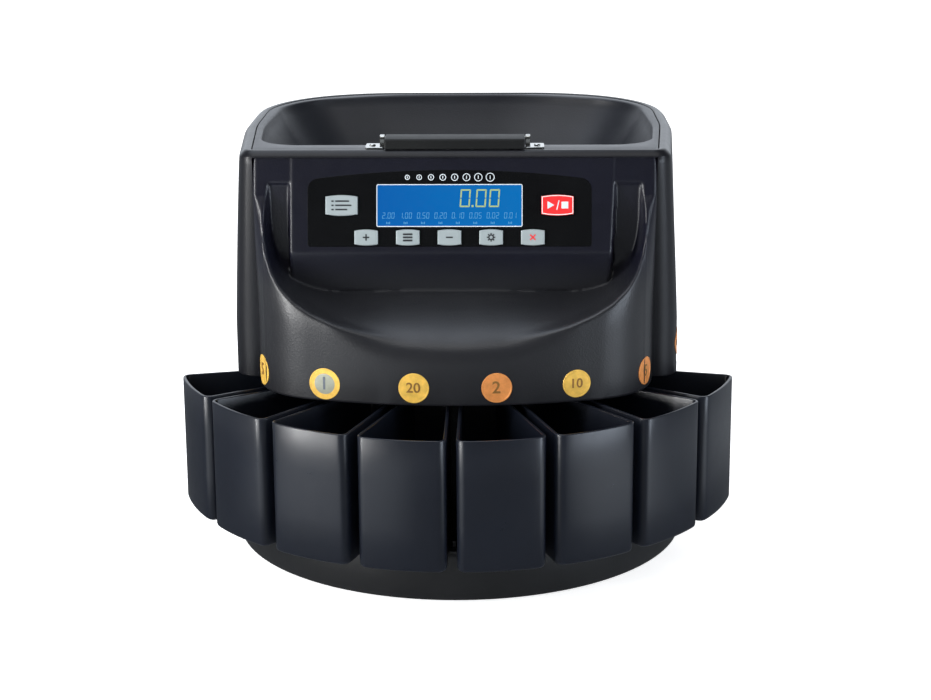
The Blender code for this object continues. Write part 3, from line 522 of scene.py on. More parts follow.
# ---------------------------------------------------------------- outer shell
def make_shell():
    low = SHELL_BOTTOM
    heights = [low + 138.0 * k / 23 for k in range(24)]
    profile = [(z, 0.0, z) for z in heights[1:]]
    profile += [(min(z, RIM_OUTLINE_Z), d, z) for z, d in (
        (262.0, 0.1), (262.6, 0.45), (263.4, 1.1), (264.3, 1.95), (265.1, 2.8), (265.6, 3.5), (265.9, 4.3),
        (RIM_TOP, 5.2), (RIM_TOP, 6.4), (265.8, 7.2), (265.3, 7.6))]
    profile += [(RIM_OUTLINE_Z, 7.6, 262.0), (258.0, WALL + 0.2, 261.0)]
    profile += [(z, WALL, z) for z in reversed(heights[:-1])]
    rings = [level(housing_outline(low, 0.5), low), level(housing_outline(low + 0.5), low + 0.5)]
    rings += [level(housing_outline(at, d), z) for at, d, z in profile]
    shell = solid(rings, loop_closed=True)
    notch = []
    for z in (100.0, 172.0, 189.0, 206.0, 223.0, 240.0, COVER_TOP + 0.3):
        t = min(1.0, max(0.0, (z - DRUM_LEAN_Z) / DRUM_LEAN_RUN))
        half = DRUM_HALF_W + DRUM_FLARE * t + 0.3
        notch.append(level([(-half, -140.0), (half, -140.0), (half, -30.0), (-half, -30.0)], z))
    combine(shell, "DIFFERENCE", solid(notch), block(-46, 46, 140, 160, 138, 170))
    publish(shell, "housing_shell", HOUSING, "housing", ["outer_shell"], edge=0.35)


# ---------------------------------------------------------------- front cover as a height field
SCOOP_X = (-140.0, 0.0, 17.0, 34.0, 52.0, 69.0, 83.0, 94.0, 103.0, 109.0, 112.6, 114.4, 115.0, 115.0)
SCOOP_Z = (150.0, 157.0, 157.2, 158.2, 160.6, 164.8, 170.5, 177.5, 186.5, 196.0, 206.0, 216.0, 226.0, 400.0)
SCOOP_Y = (-145.0, -126.0, -116.0, -104.0, -94.0, -86.0, -79.0, -74.0, -71.0)
SCOOP_W = (117.4, 117.4, 117.4, 117.4, 117.4, 117.2, 116.8, 116.0, 114.5)
SCOOP_LOW = (157.0, 157.0, 160.8, 166.0, 170.0, 173.4, 176.4, 178.8, 181.0)


def eased(xs, ys, at, width, step):
    """Piecewise line through (xs, ys), softened over a width, sampled at."""
    fine = np.arange(min(xs) - 2 * width, max(xs) + 2 * width + step, step)
    line = np.interp(fine, xs, ys)
    n = max(1, int(width / step))
    for _ in range(2):
        line = np.convolve(np.pad(line, n, mode="edge"), np.ones(2 * n + 1) / (2 * n + 1), "valid")
    return np.interp(at, fine, line)


def blur(field, sigma):
    n = int(3 * sigma + 1)
    k = np.exp(-0.5 * (np.arange(-n, n + 1) / sigma) ** 2)
    k /= k.sum()
    for axis in (0, 1):
        pad = [(0, 0), (0, 0)]
        pad[axis] = (n, n)
        grown = np.pad(field, pad, mode="edge")
        field = sum(k[j] * np.take(grown, range(j, j + field.shape[axis]), axis=axis)
                    for j in range(2 * n + 1))
    return field


def inside(loop, x, y):
    hit = np.zeros(x.shape, bool)
    for i in range(len(loop)):
        (ax, ay), (bx, by) = loop[i - 1], loop[i]
        if ay == by:
            continue
        cross = (ay > y) != (by > y)
        hit ^= cross & (x < (bx - ax) * (y - ay) / (by - ay) + ax)
    return hit


def overlay_loop(d=0.0, seg=16):
    w = PANEL_HALF_W
    top = [(x, -7.7 - 0.00075 * x * x, 0.0) for x in range(77, -78, -7)]
    loop = rounded([(w, -55.0, 2.0), (w, -13.6, 7.0)] + top + [(-w, -13.6, 7.0), (-w, -55.0, 2.0)], seg)
    return inset(loop, d) if d else loop


def make_cover():
    reach, step, ends = 118.0, 0.75, 34
    xs = np.linspace(-reach, reach, int(2 * reach / step) + 1)
    zs = np.linspace(COVER_BOTTOM, COVER_TOP, int((COVER_TOP - COVER_BOTTOM) / step) + 1)
    drum = np.zeros((len(zs), len(xs)))
    side = []
    for r, z in enumerate(zs):
        loop = np.array(drum_outline(float(z)))
        line = np.vstack([loop[1:], loop[:1]])
        drum[r] = np.interp(xs, line[1:-1, 0], line[1:-1, 1])
        right = line[line[:, 0] > reach]
        right = np.vstack([[reach, drum[r, -1]], right])
        run = np.concatenate([[0], np.cumsum(np.linalg.norm(np.diff(right, axis=0), axis=1))])
        at = np.linspace(0, run[-1], ends + 1)[1:]
        side.append(np.stack([np.interp(at, run, right[:, 0]), np.interp(at, run, right[:, 1])], 1))
    X, Z = np.meshgrid(np.abs(xs), zs)

    scoop = np.full(X.shape, -145.0)
    deep = np.arange(-145.0, -70.9, 1.0)
    width = eased(SCOOP_Y, SCOOP_W, deep, 5.0, 0.25)
    low = eased(SCOOP_Y, SCOOP_LOW, deep, 5.0, 0.25)
    edge_z = np.arange(145.0, 260.0, 0.25)
    edge_x = eased(SCOOP_Z, SCOOP_X, edge_z, 1.2, 0.1)
    last = None
    for y, w, lo in zip(deep, width, low):
        zz = Z - (lo - 157.0) * np.clip(1 - (X / 108.0) ** 2, 0, 1)
        f = np.interp(zz, edge_z, edge_x) * w / 115.0 - X
        f = np.minimum(f, (246.0 - Z) * 3.0)
        if last is None:
            last = f
            continue
        whole = f >= 0
        part = (last >= 0) & ~whole
        scoop = np.where(whole & (scoop >= y - 1.5), y, scoop)
        scoop = np.where(part & (scoop >= y - 1.5), y - 1 + last / np.maximum(last - f, 1e-6), scoop)
        last = f
    back = np.maximum(drum, scoop)
    depth = np.clip((back - drum - 3.0) / 6.0, 0, 1) * np.clip((203.0 - Z) / 14.0, 0, 1)
    back = blur(back, 1.1) * (1 - depth) + blur(back, 4.5) * depth
    calm = np.clip((78.0 - X) / 50.0, 0, 1) * np.clip((188.0 - Z) / 12.0, 0, 1)
    calm = calm * calm * (3 - 2 * calm)
    back = back * (1 - calm) + blur(back, 9.0) * calm

    crease_y, crease_z = -84.8, 205.5
    upper = panel_face(Z)
    lower = crease_y + (crease_z - Z) * 0.30
    face = (upper + lower + np.sqrt((upper - lower) ** 2 + 0.25)) / 2
    low_t = np.clip((192.0 - Z) / 12.0, 0, 1)
    trim = 5.0 * (1 - np.sqrt(1 - np.minimum(low_t, 0.995) ** 2))
    signed = np.meshgrid(xs, zs)[0]
    left, right = 102.8 - trim, 97.4 - trim + 3.2 * np.clip((Z - 190.0) / 72.0, 0, 1)
    near = np.minimum(np.where(signed < 0, left, right) - X, (Z - 178.5) * 1.3)
    bend = np.clip(3.0 - near, 0, 3.0)
    face = face + 3.0 - np.sqrt(9.0 - bend ** 2)
    body = np.where(near > 0, np.minimum(back, face), back)
    body = blur(body, 0.55)

    n_rows, n_mid = body.shape
    cols = n_mid + 2 * ends
    pts = np.zeros((n_rows, cols, 3))
    pts[:, :, 2] = zs[:, None]
    pts[:, ends:ends + n_mid, 0] = xs
    pts[:, ends:ends + n_mid, 1] = body
    side = np.array(side)
    pts[:, ends + n_mid:, :2] = side
    pts[:, :ends, 0] = -side[:, ::-1, 0]
    pts[:, :ends, 1] = side[:, ::-1, 1]
    flow = np.gradient(pts[:, :, :2], axis=1)
    normal = np.stack([-flow[:, :, 1], flow[:, :, 0]], -1)
    normal /= np.maximum(np.linalg.norm(normal, axis=-1, keepdims=True), 1e-9)

    def lip(row, z, d):
        line = pts[row].copy()
        line[:, :2] += normal[row] * d
        line[:, 2] = z
        return line[None]

    sheet = np.concatenate([lip(0, COVER_BOTTOM + 6.0, 2.8), lip(0, COVER_BOTTOM, 2.6),
                            lip(0, COVER_BOTTOM, 0.45), pts[1:-1], lip(-1, COVER_TOP, 0.0),
                            lip(-1, COVER_TOP, 2.5)])
    rows = sheet.shape[0]
    s = (zs - 262.0) / math.cos(PANEL_LEAN)
    gx, gs = np.meshgrid(xs - PANEL_X, s)
    hole = inside(overlay_loop(1.6), gx, gs)
    drop = np.zeros((rows, cols), bool)
    drop[2:2 + n_rows, ends:ends + n_mid] = hole
    index = np.arange(rows * cols).reshape(rows, cols)
    quads = np.stack([index[:-1, :-1], index[:-1, 1:], index[1:, 1:], index[1:, :-1]], -1)
    keep = ~(drop[:-1, :-1] & drop[:-1, 1:] & drop[1:, 1:] & drop[1:, :-1])
    faces = quads[keep]
    mesh = bpy.data.meshes.new("work")
    mesh.from_pydata(sheet.reshape(-1, 3).tolist(), [], faces.tolist())
    obj = bpy.data.objects.new("work", mesh)
    bpy.context.scene.collection.objects.link(obj)
    bm = bmesh.new()
    bm.from_mesh(mesh)
    loose = [v for v in bm.verts if not v.link_faces]
    bmesh.ops.delete(bm, geom=loose, context="VERTS")
    bm.to_mesh(mesh)
    bm.free()
    publish(obj, "front_cover_skin", COVER, "housing", ["front_cover"], smooth=62.0, tidy=False)


# ---------------------------------------------------------------- panel
def barrel(x, s, w, h, bulge, seg=16):
    steps = [-1 + 2 * k / seg for k in range(seg + 1)]
    low = [(x + w / 2 * t, s - h / 2 - bulge * (1 - t * t)) for t in steps]
    return low + [(x - w / 2 * t, s + h / 2 + bulge * (1 - t * t)) for t in steps]


BUTTONS = [("report_button", -66.6, KEY_UPPER, 20.8, 12.8),
           ("start_stop_button", 66.6, KEY_UPPER, 20.8, 12.8)]
BUTTONS += [(name + "_button", x, KEY_LOWER, 15.5, 9.9) for name, x in (
    ("plus", -51.4), ("batch", -25.7), ("minus", 0.0), ("set", 25.7), ("clear", 51.4))]


def key_loop(x, s, w, h, d=0.0):
    bulge = 1.0 if w > 18 else 0.8
    return inset(barrel(x, s, w - 1.0, h - 2 * bulge, bulge), d)


def bar(x0, x1, s0, s1, r=0.0):
    return prism(rect(x0, x1, s0, s1, r, 3), ICON_LOW, ICON_HIGH)


def tilted(x, s, w, h, angle):
    spin = Matrix.Rotation(math.radians(angle), 2)
    loop = [tuple(spin @ Vector(p) + Vector((x, s))) for p in rect(-w / 2, w / 2, -h / 2, h / 2)]
    return prism(loop, ICON_LOW, ICON_HIGH)


def ring(x, s, r, w, d0=ICON_LOW, d1=ICON_HIGH):
    a, b = circle(r, 28, x, s), circle(r - w, 28, x, s)
    return solid([panel_level(a, d0), panel_level(a, d1), panel_level(b, d1), panel_level(b, d0)], True)


SEGMENTS = {"0": "abcdef", "1": "bc", "2": "abged", "3": "abgcd", "4": "fgbc", "5": "afgcd",
            "6": "afgedc", "7": "abc", "8": "abcdefg", "9": "abcdfg"}


def digit(char, x, s, w, h, t, d0, d1):
    """Seven-segment numeral, lower-left corner at (x, s)."""
    g, m = t * 0.16, h / 2
    shapes = {
        "a": [(g, h), (w - g, h), (w - t, h - t), (t, h - t)],
        "d": [(t, t), (w - t, t), (w - g, 0), (g, 0)],
        "f": [(0, h - g), (t, h - t - g), (t, m + t / 2), (0, m + g)],
        "b": [(w, h - g), (w, m + g), (w - t, m + t / 2), (w - t, h - t - g)],
        "e": [(0, m - g), (t, m - t / 2), (t, t + g), (0, g)],
        "c": [(w, m - g), (w, g), (w - t, t + g), (w - t, m - t / 2)],
        "g": [(t * 0.6, m), (t, m + t / 2), (w - t, m + t / 2), (w - t * 0.6, m), (w - t, m - t / 2),
              (t, m - t / 2)],
    }
    lean = 0.07
    return [prism([(x + px + py * lean, s + py) for px, py in shapes[k]], d0, d1) for k in SEGMENTS[char]]


def lcd_look():
    mat, tree, shader = new_material("lcd_backlight")
    place = add(tree, "TexCoord", {}, "Object")
    x = add(tree, "SeparateXYZ", {0: place}, "X")
    left = remap(tree, x, (PANEL_X - LCD_HALF_W) * MM, (PANEL_X + LCD_HALF_W) * MM)
    haze = add(tree, "TexNoise", {"Vector": place, "Scale": 45.0})
    light = ramp(tree, compute(tree, "MULTIPLY_ADD", haze, 0.22, left), (0.0, 0.105, 0.40),
                 (0.0, 0.150, 0.46), 0.1)
    grid = add(tree, "TexNoise", {"Vector": place, "Scale": 300.0})
    feed(tree, shader, {"Base Color": (0.0, 0.012, 0.04, 1), "Emission Color": light,
                        "Emission Strength": 0.90, "Roughness": remap(tree, grid, 0.0, 1.0, 0.16, 0.30)})
    return mat


def make_panel():
    top = 0.3
    overlay = solid([panel_level(overlay_loop(), -0.7), panel_level(overlay_loop(), 0.16),
                     panel_level(overlay_loop(0.14), top)])
    combine(overlay, "DIFFERENCE",
            prism(rect(-LCD_HALF_W, LCD_HALF_W, LCD_LOW, LCD_HIGH, 1.0), -5, 5),
            *[prism(key_loop(x, s, w, h, -0.4), -5, 5) for _, x, s, w, h in BUTTONS])
    publish(overlay, "overlay_plate", GLOSS, "housing", ["panel_overlay"], smooth=30.0)

    pane = rect(-LCD_HALF_W + 0.3, LCD_HALF_W - 0.3, LCD_LOW + 0.3, LCD_HIGH - 0.3, 0.8)
    publish(solid([panel_level(pane, -1.4), panel_level(pane, -0.05), panel_level(inset(pane, 0.15), 0.1)]),
            "display_pane", lcd_look(), "housing", ["display_window"], smooth=30.0)

    outer = rect(-LCD_HALF_W - 0.15, LCD_HALF_W + 0.15, LCD_LOW - 0.15, LCD_HIGH + 0.15, 1.1)
    inner = inset(outer, 0.5)
    frame_ring = solid([panel_level(outer, 0.2), panel_level(outer, 0.36), panel_level(inner, 0.36),
                        panel_level(inner, 0.2)], True)
    publish(frame_ring, "display_border", INK_WHITE, "housing", smooth=30.0)

    glow = look("segment_glow", (0.10, 0.13, 0.05), 0.4, mottle=0.05, glow=(0.34, 0.46, 0.20),
                glow_strength=0.80)
    pale = look("segment_pale", (0.03, 0.08, 0.12), 0.4, mottle=0.05, glow=(0.04, 0.30, 0.62),
                glow_strength=0.75)
    big = []
    for char, x in (("0", 6.2), ("0", 16.0), ("0", 24.2)):
        big += digit(char, x, -30.6, 6.3, 11.0, 0.9, 0.08, 0.2)
    big.append(prism(rect(13.6, 14.9, -30.6, -29.3, 0.4, 4), 0.08, 0.2))
    publish(merge(*big), "display_total", glow, "housing", smooth=30.0)
    small = []
    for k, text in enumerate(("200", "100", "050", "020", "010", "005", "002", "001")):
        x = -41.6 + k * 10.75
        for j, char in enumerate(text):
            small += digit(char, x + (0, 3.3, 5.7)[j], -37.6, 1.8, 3.7, 0.34, 0.08, 0.18)
        small.append(prism(rect(x + 2.3, x + 2.75, -37.6, -37.15), 0.08, 0.18))
        for j in range(3):
            left = x + 2.6 + j * 0.9
            small.append(prism(rect(left, left + 0.5, -41.0, -39.6 - 0.3 * (j % 2)), 0.08, 0.18))
    publish(merge(*small), "display_counts", pale, "housing", smooth=30.0)

    marks = []
    for k in range(8):
        x, s, r = -26.0 + k * 7.3, -12.2, 1.55 + 0.17 * k
        marks.append(ring(x, s, r, 0.45, 0.28, 0.36))
        marks.append(prism(rect(x - 0.22, x + 0.22, s - r * 0.42, s + r * 0.42), 0.28, 0.36))
    publish(merge(*marks), "overlay_coin_row", INK_WHITE, "housing", smooth=30.0)

    for name, x, s, w, h in BUTTONS:
        steps = ((0.6, -3.9), (0.0, -3.4), (0.0, 1.1), (0.10, 1.42), (0.32, 1.62), (0.75, 1.74),
                 (1.5, 1.80), (2.6, 1.84))
        rings = []
        for d, up in steps:
            kx, ks = 1 - 2 * d / w, 1 - 2 * d / h
            scaled = [(x + (p - x) * kx, s + (q - s) * ks) for p, q in key_loop(x, s, w, h)]
            rings.append(panel_level(scaled, up))
        cap = solid(rings)
        red = name == "start_stop_button"
        publish(cap, name.replace("button", "key_cap"), KEY_RED if red else KEY, name, [name], smooth=50.0)
    a, b = (key_loop(66.6, KEY_UPPER, 20.8, 12.8, d) for d in (0.25, 0.75))
    border = solid([panel_level(a, 1.5), panel_level(a, 1.66), panel_level(b, 1.82), panel_level(b, 1.6)],
                   True)
    publish(border, "start_stop_border", KEY_RIM, "start_stop_button", smooth=50.0)

    s1, s2 = KEY_UPPER, KEY_LOWER
    icons = {
        "report": (INK, [bar(-72.8, -71.4, s1 + k - 0.45, s1 + k + 0.45, 0.2) for k in (-2.6, 0, 2.6)]
                   + [bar(-70.4, -70.4 + n, s1 + k - 0.45, s1 + k + 0.45, 0.2)
                      for k, n in ((-2.6, 7.4), (0, 10.0), (2.6, 8.6))]),
        "plus": (INK, [bar(-53.4, -49.4, s2 - 0.42, s2 + 0.42), bar(-51.82, -50.98, s2 - 2.0, s2 + 2.0)]),
        "minus": (INK, [bar(-2.1, 2.1, s2 - 0.42, s2 + 0.42)]),
        "batch": (INK, [bar(-28.7, -22.7, s2 + k - 0.55, s2 + k + 0.55, 0.5) for k in (-1.9, 0.0, 1.9)]),
        "set": (INK, [ring(25.7, s2, 1.75, 0.75)] + [tilted(25.7 + 2.15 * math.cos(math.radians(a)),
                s2 + 2.15 * math.sin(math.radians(a)), 1.0, 0.75, a) for a in range(0, 360, 45)]),
        "clear": (INK_RED, [tilted(51.4, s2, 4.6, 0.8, 45), tilted(51.4, s2, 4.6, 0.8, -45)]),
        "start_stop": (INK_WHITE, [prism([(60.4, s1 - 2.4), (64.6, s1), (60.4, s1 + 2.4)],
                                         ICON_LOW, ICON_HIGH),
                                   bar(69.0, 73.2, s1 - 2.1, s1 + 2.1, 0.2),
                                   tilted(66.8, s1, 0.6, 6.0, -14)]),
    }
    for key, (mat, shapes) in icons.items():
        publish(merge(*shapes), key + "_symbol", mat, key + "_button", smooth=30.0)


# ---------------------------------------------------------------- hopper and handle
def bowl_mouth():
    return rounded(mirrored([(122.5, -45.0, 26.0, 20), (127.0, 22.0, 240.0, 8), (121.0, 112.0, 52.0, 28),
                             (46.0, 138.6, 140.0, 12)]), 5)


def make_hopper():
    flange = housing_outline(RIM_OUTLINE_Z, 8.0)
    mouth = bowl_mouth()

    def throat(r):
        out = []
        for x, y in mouth:
            ray = Vector((x, (y - 40.0) * 1.12)).normalized()
            out.append((ray.x * r, 14.0 + ray.y * r))
        return out

    def mixed(a, b, t):
        return [(p[0] * (1 - t) + q[0] * t, p[1] * (1 - t) + q[1] * t) for p, q in zip(a, b)]

    ts = np.linspace(0, 1, 26)[1:]
    zs = eased((-0.2, 0.0, 0.10, 0.30, 0.56, 0.80, 0.95, 1.0, 1.1),
               (270.0, 263.6, 252.0, 232.0, 207.0, 186.0, 173.0, 165.0, 150.0), ts, 0.03, 0.002)
    zs = np.maximum(zs, 165.0)
    rings = [level(flange, 262.6), level(flange, 265.0), level(inset(flange, 0.3), 265.5),
             level(inset(flange, 0.9), 265.6), level(inset(mouth, -1.8), 265.6),
             level(inset(mouth, -0.9), 265.35), level(inset(mouth, -0.25), 264.6), level(mouth, 263.6)]
    rings += [level(mixed(mouth, throat(58.0), t), z) for t, z in zip(ts, zs)]
    under, outer = inset(mouth, -2.6), throat(60.5)
    for t, z in reversed(list(zip(ts, zs))):
        rings.append(level(mixed(under, outer, t), z - 1.2 * (1 - t)))
    rings.append(level(under, 262.6))
    publish(solid(rings, loop_closed=True), "hopper_shell", BOWL, "hopper", ["hopper_bowl"], smooth=45.0)

    front, rear, low, high = -66.0, -46.8, 266.3, 272.7
    corner = rounded([(front, low, 0.8), (rear, low, 1.0), (rear, high, 1.6), (front + 0.4, high, 2.2)], 6)
    ends = [(42.3, 0.0), (42.9, 0.08), (43.35, 0.35), (43.5, 0.9)]
    ends = [(-x, d) for x, d in reversed(ends)] + ends
    publish(solid([across(inset(corner, d), x) for x, d in ends]), "handle_grip", HANDLE, "lift_handle",
            ["lift_handle"], smooth=45.0)
    for side, name in ((-1, "left"), (1, "right")):
        x0, x1 = sorted((side * 43.9, side * 55.5))
        plate = rect(x0, x1, HINGE_Y - 12.0, HINGE_Y + 1.6, 1.2)
        foot = solid([level(plate, 265.9), level(plate, 266.8), level(inset(plate, 0.25), 267.0)])
        x0, x1 = sorted((side * 43.9, side * 46.9))
        ear = rounded([(HINGE_Y - 3.4, 266.6, 0), (HINGE_Y + 2.4, 266.6, 0), (HINGE_Y + 2.4, 272.8, 2.2),
                       (HINGE_Y - 3.4, 272.8, 2.6)], 8)
        cheek = solid([across(inset(ear, d), x) for x, d in
                       ((x0, 0.3), (x0 + 0.3, 0.01), (x1 - 0.3, 0.01), (x1, 0.3))])
        pin = solid([across(circle(1.15, 28, HINGE_Y, HINGE_Z), x)
                     for x in sorted((side * 42.6, side * 45.8))])
        screw = solid([level(circle(r, 24, side * 51.2, HINGE_Y - 5.4), z) for r, z in
                       ((2.0, 266.9), (2.0, 267.5), (1.5, 267.9))])
        publish(merge(foot, cheek, pin, screw), f"handle_bracket_{name}_chrome", CHROME, "hopper",
                [f"handle_bracket_{name}"], smooth=35.0)


# ---------------------------------------------------------------- coin decals
def front_path(z):
    loop = drum_outline(z, 40)
    return np.array(loop[1:] + loop[:1])


def shell_path(z):
    loop = np.array(housing_outline(z))
    loop = loop[loop[:, 1] < 60.0]
    return loop[np.argsort(np.arctan2(loop[:, 0], 60.0 - loop[:, 1]))]


class Wall:
    """Points on a curved wall: u along the plan path, v up, h outward from the wall."""

    def __init__(self, path, axis, value, sign, z0):
        self.path, self.axis, self.value, self.sign, self.z0 = path, axis, value, sign, z0
        self.cache = {}

    def row(self, z):
        key = round(z * 4)
        if key not in self.cache:
            line = self.path(key / 4)
            run = np.concatenate([[0], np.cumsum(np.linalg.norm(np.diff(line, axis=0), axis=1))])
            order = np.arange(len(line))
            if self.axis == 1:
                order = order[line[:, 0] * self.sign > 100]
                order = order[np.argsort(line[order, 1])]
            start = float(np.interp(self.value, line[order, self.axis], run[order]))
            self.cache[key] = (line, run, start)
        return self.cache[key]

    def at(self, u, v, h):
        z = self.z0 + v
        line, run, start = self.row(z)
        (x0, y0), (x, y), (x1, y1) = (
            (np.interp(s, run, line[:, 0]), np.interp(s, run, line[:, 1]))
            for s in (start + u - 0.5, start + u, start + u + 0.5))
        n = Vector((y1 - y0, x0 - x1)).normalized()
        return x + n.x * h, y + n.y * h, z


def numeral(text, size, wall, h0, h1, u0=0.0, v0=0.0):
    curve = bpy.data.curves.new("numeral", "FONT")
    curve.body = text
    curve.size = size
    curve.align_x = "CENTER"
    curve.align_y = "CENTER"
    curve.extrude = 0.5
    curve.offset = size * 0.012
    curve.resolution_u = 4
    obj = bpy.data.objects.new("numeral", curve)
    bpy.context.scene.collection.objects.link(obj)
    bpy.context.view_layer.update()
    mesh = bpy.data.meshes.new_from_object(obj.evaluated_get(bpy.context.evaluated_depsgraph_get()))
    bpy.data.objects.remove(obj, do_unlink=True)
    for v in mesh.vertices:
        v.co = wall.at(u0 + v.co.x, v0 + v.co.y, h1 if v.co.z > 0 else h0)
    made = bpy.data.objects.new("work", mesh)
    bpy.context.scene.collection.objects.link(made)
    return made


def coin_rings(wall, steps, seg=64):
    return solid([[wall.at(u, v, h) for u, v in circle(r, seg)] for r, h in steps])


def make_decals():
    coins = (
        ("decal_1", front_path, 1, -85.2, -1, 130.5, 9.6, GOLD, None, "5"),
        ("decal_2", front_path, 0, -79.3, -1, 130.4, 9.9, GOLD, SILVER, "1"),
        ("decal_3", front_path, 0, -24.2, -1, 130.6, 9.4, GOLD, None, "20"),
        ("decal_4", front_path, 0, 26.4, 1, 130.8, 9.4, COPPER, None, "2"),
        ("decal_5", front_path, 0, 75.2, 1, 131.0, 8.8, GOLD, None, "10"),
        ("decal_6", front_path, 1, -89.0, 1, 131.0, 8.8, COPPER, None, "5"),
        ("decal_7", shell_path, 1, -50.0, 1, 139.5, 8.6, COPPER, None, "1"),
    )
    for name, path, axis, value, sign, z, r, mat, core, text in coins:
        wall = Wall(path, axis, value, sign, z)
        inner = r * 0.66 if core else 0.6
        steps = [(r, -0.4), (r, 0.22), (r - 0.12, 0.36), (r - 0.75, 0.36), (r - 0.95, 0.20)]
        steps += [(r * 0.80, 0.20), (inner + 0.05, 0.20)]
        parts = [coin_rings(wall, steps)]
        for cu, cv in circle(r - 1.55, 40):
            parts.append(solid([[wall.at(u, v, h) for u, v in circle(q, 6, cu, cv)]
                                for q, h in ((0.22, 0.15), (0.132, 0.33))]))
        figure = numeral(text, r * (1.15 if len(text) == 1 else 0.95), wall, 0.1, 0.42, u0=-0.3)
        if core:
            middle = coin_rings(wall, [(inner, -0.4), (inner, 0.24), (inner - 0.3, 0.27), (0.4, 0.27)])
            publish(middle, name + "_core", core, "housing", smooth=35.0)
        # the numeral carries the darker painted-shade colour
        publish(figure, name + "_figure", PAINTED_SHADE_GREY if core else PAINTED_SHADE_BRONZE, "housing", smooth=35.0)
        publish(merge(*parts), name, mat, "housing", smooth=35.0)


# ---------------------------------------------------------------- carried-over frame nodes
def dress():
    looks = {
        "chute_deck": BOWL, "sorting_plate": ALUMINIUM, "coin_rail": ALUMINIUM, "coin_disc": TURNED,
        "disc_bearing": BRASS, "disc_pulley": NYLON, "motor_pulley": NYLON, "motor_shaft": STEEL,
        "drive_belt": BELT, "drive_motor": STEEL, "motor_bracket": ALUMINIUM, "coin_sensor": PORT,
        "counter_board": BOARD, "main_board": BOARD, "power_supply": ALUMINIUM, "connector_panel": STEEL,
        "power_inlet": PORT, "power_switch_frame": PORT, "power_rocker": KEY_RED, "printer_port": PORT,
        "display_port": PORT, "lcd_module": NYLON, "display_board": BOARD,
    }
    for k in range(1, 5):
        looks[f"deck_screw_{k}"] = STEEL
    for name, mat in looks.items():
        obj = frame["nodes"][name]
        obj.data.materials.clear()
        obj.data.materials.append(mat)
        size = max(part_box(name)[1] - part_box(name)[0])
        bevel(obj, 0.4 if size > 0.02 else 0.2, 2, 40.0)


# ---------------------------------------------------------------- studio
def softbox(name, place, aim, wide, tall, power, colour=(1, 1, 1)):
    light = bpy.data.lights.new(name, "AREA")
    light.shape = "RECTANGLE"
    light.size, light.size_y = wide, tall
    light.energy = power
    light.color = colour
    obj = bpy.data.objects.new(name, light)
    obj.location = place
    obj.rotation_euler = (Vector(aim) - Vector(place)).to_track_quat("-Z", "Y").to_euler()
    bpy.context.scene.collection.objects.link(obj)


# bearing from the front in degrees: the painted glow that reflections see on the table changes by the last
# value
PAINTED_FLOOR_GLOW = ((-80, -56, 1.05), (-22, -10, -1.05), (30, 44, 1.45), (58, 78, -1.05), (100, 150, -0.4))
# metres from the axis: painted side glow near the object, the table in front, painted side glow far away
FLOOR_REACH = ((0.23, 0.40, 0.04, 1.0), (0.45, 0.85, 0.13, 0.34), (0.55, 0.85, 1.0, 0.30))


def split_by_ray(tree, seen, reflected, socket):
    """Glossy rays get the second shader, all others the first."""
    glossy = add(tree, "LightPath", {}, "Is Glossy Ray")
    tree.links.new(add(tree, "MixShader", {0: glossy, 1: seen, 2: reflected}), socket)


def floor_look():
    mat, tree, shader = new_material("studio_floor")
    tint = ramp(tree, add(tree, "TexNoise", {"Scale": 3.0}), [0.90] * 3, [0.93] * 3)
    feed(tree, shader, {"Base Color": tint, "Roughness": 0.9, "Specular IOR Level": 0.0,
                        "Emission Color": (1, 1, 1, 1), "Emission Strength": 0.70})
    # what polished faces see of the table is a painted glow: dark in front, painted light on each side
    # standing in for a softbox
    place = add(tree, "TexCoord", {}, "Object")
    split = add(tree, "SeparateXYZ", {0: place}).node.outputs
    bearing = compute(tree, "ARCTAN2", split["X"], compute(tree, "MULTIPLY", split["Y"], -1.0))
    total = 0.0
    for start, stop, power in PAINTED_FLOOR_GLOW:
        turn = remap(tree, bearing, math.radians(start), math.radians(stop), 0.0, power, "SMOOTHSTEP")
        total = compute(tree, "ADD", turn, total)
    reach = add(tree, "VectorMath", {0: place}, "Value", operation="LENGTH")
    near, front, far = [remap(tree, reach, *step, "SMOOTHSTEP") for step in FLOOR_REACH]
    glow = compute(tree, "MULTIPLY_ADD", compute(tree, "MULTIPLY", total, far), near, front)
    calm = add(tree, "Emission", {"Color": (0.86, 0.93, 1.0, 1), "Strength": glow})
    split_by_ray(tree, shader.outputs[0], calm, tree.nodes["Material Output"].inputs["Surface"])
    return mat


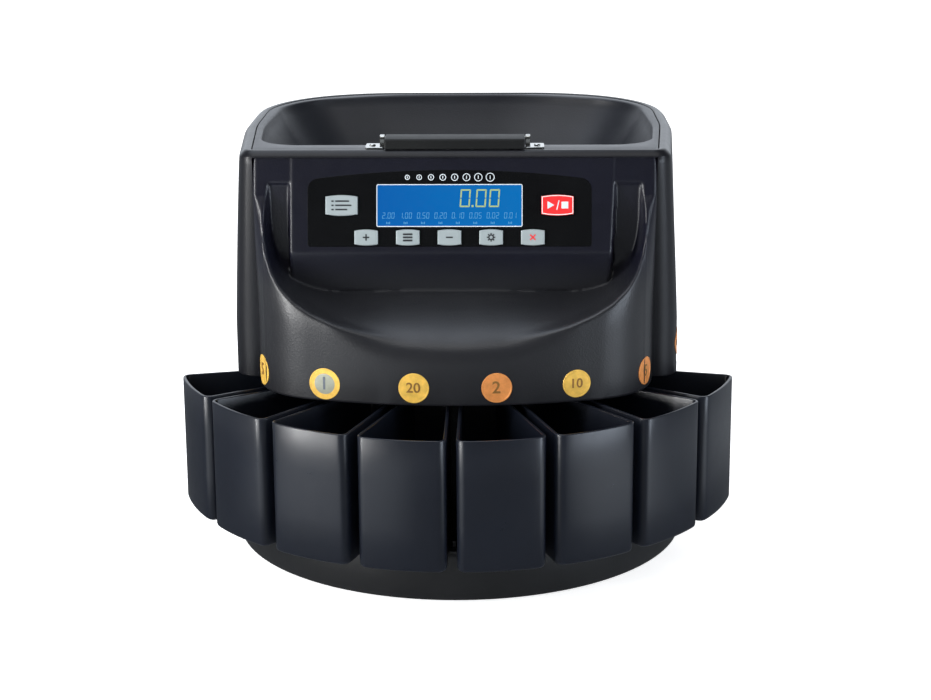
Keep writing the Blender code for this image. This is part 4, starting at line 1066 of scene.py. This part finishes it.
def make_studio():
    bm = bmesh.new()
    bmesh.ops.create_grid(bm, x_segments=24, y_segments=24, size=14.0)
    floor = from_bmesh(bm)
    floor.name = "studio_floor"
    floor.data.materials.append(floor_look())

    world = bpy.data.worlds.new("studio")
    bpy.context.scene.world = world
    world.use_nodes = True
    tree = world.node_tree
    tree.nodes.clear()
    bright = add(tree, "Background", {"Color": (1, 1, 1, 1), "Strength": 0.66})
    # reflections see a dark room with a white backdrop behind the object
    behind = add(tree, "SeparateXYZ", {0: add(tree, "TexCoord", {}, "Generated")}, "Y")
    dim = add(tree, "Background", {"Color": (0.86, 0.92, 1.0, 1),
                                   "Strength": remap(tree, behind, 0.45, 0.90, 0.06, 1.5, "SMOOTHSTEP")})
    split_by_ray(tree, bright, dim, tree.nodes.new("ShaderNodeOutputWorld").inputs[0])

    softbox("top_box", (-0.30, 0.25, 1.5), (0, 0, 0.15), 1.0, 0.9, 7.0, (0.82, 0.89, 1.0))
    softbox("rim_box", (0.0, -0.42, 1.5), (0, -0.05, 0.26), 1.6, 0.45, 3.4)
    softbox("left_box", (-1.0, -0.90, 0.16), (0, 0, 0.12), 0.70, 0.28, 5.5)
    softbox("left_strip", (-1.31, -0.70, 0.60), (0, 0, 0.17), 0.06, 1.2, 20.0)
    softbox("right_box", (1.15, -0.85, 0.18), (0, 0, 0.12), 0.60, 0.32, 4.0, (0.78, 0.87, 1.0))
    softbox("right_strip", (1.35, -0.62, 0.60), (0, 0, 0.17), 0.25, 1.1, 5.0, (0.78, 0.87, 1.0))


def make_camera():
    data = bpy.data.cameras.new("camera")
    data.lens = CAMERA_LENS
    data.sensor_width = 36.0
    data.clip_end = 60.0
    camera = bpy.data.objects.new("camera", data)
    x, y, z = CAMERA[:3]
    yaw, pitch, roll = map(math.radians, CAMERA[3:])
    camera.location = (x * MM, y * MM + AXIS_Y, z * MM)
    look_at = Vector((math.sin(yaw) * math.cos(pitch), math.cos(yaw) * math.cos(pitch), -math.sin(pitch)))
    turn = look_at.to_track_quat("-Z", "Y") @ Matrix.Rotation(roll, 3, "Z").to_quaternion()
    camera.rotation_euler = turn.to_euler()
    bpy.context.scene.collection.objects.link(camera)
    bpy.context.scene.camera = camera
    scene = bpy.context.scene
    scene.view_settings.view_transform = "Standard"
    scene.view_settings.look = "None"


make_base()
make_cups()
make_rear_body()
make_shell()
make_cover()
make_panel()
make_hopper()
make_decals()
dress()
make_studio()
make_camera()
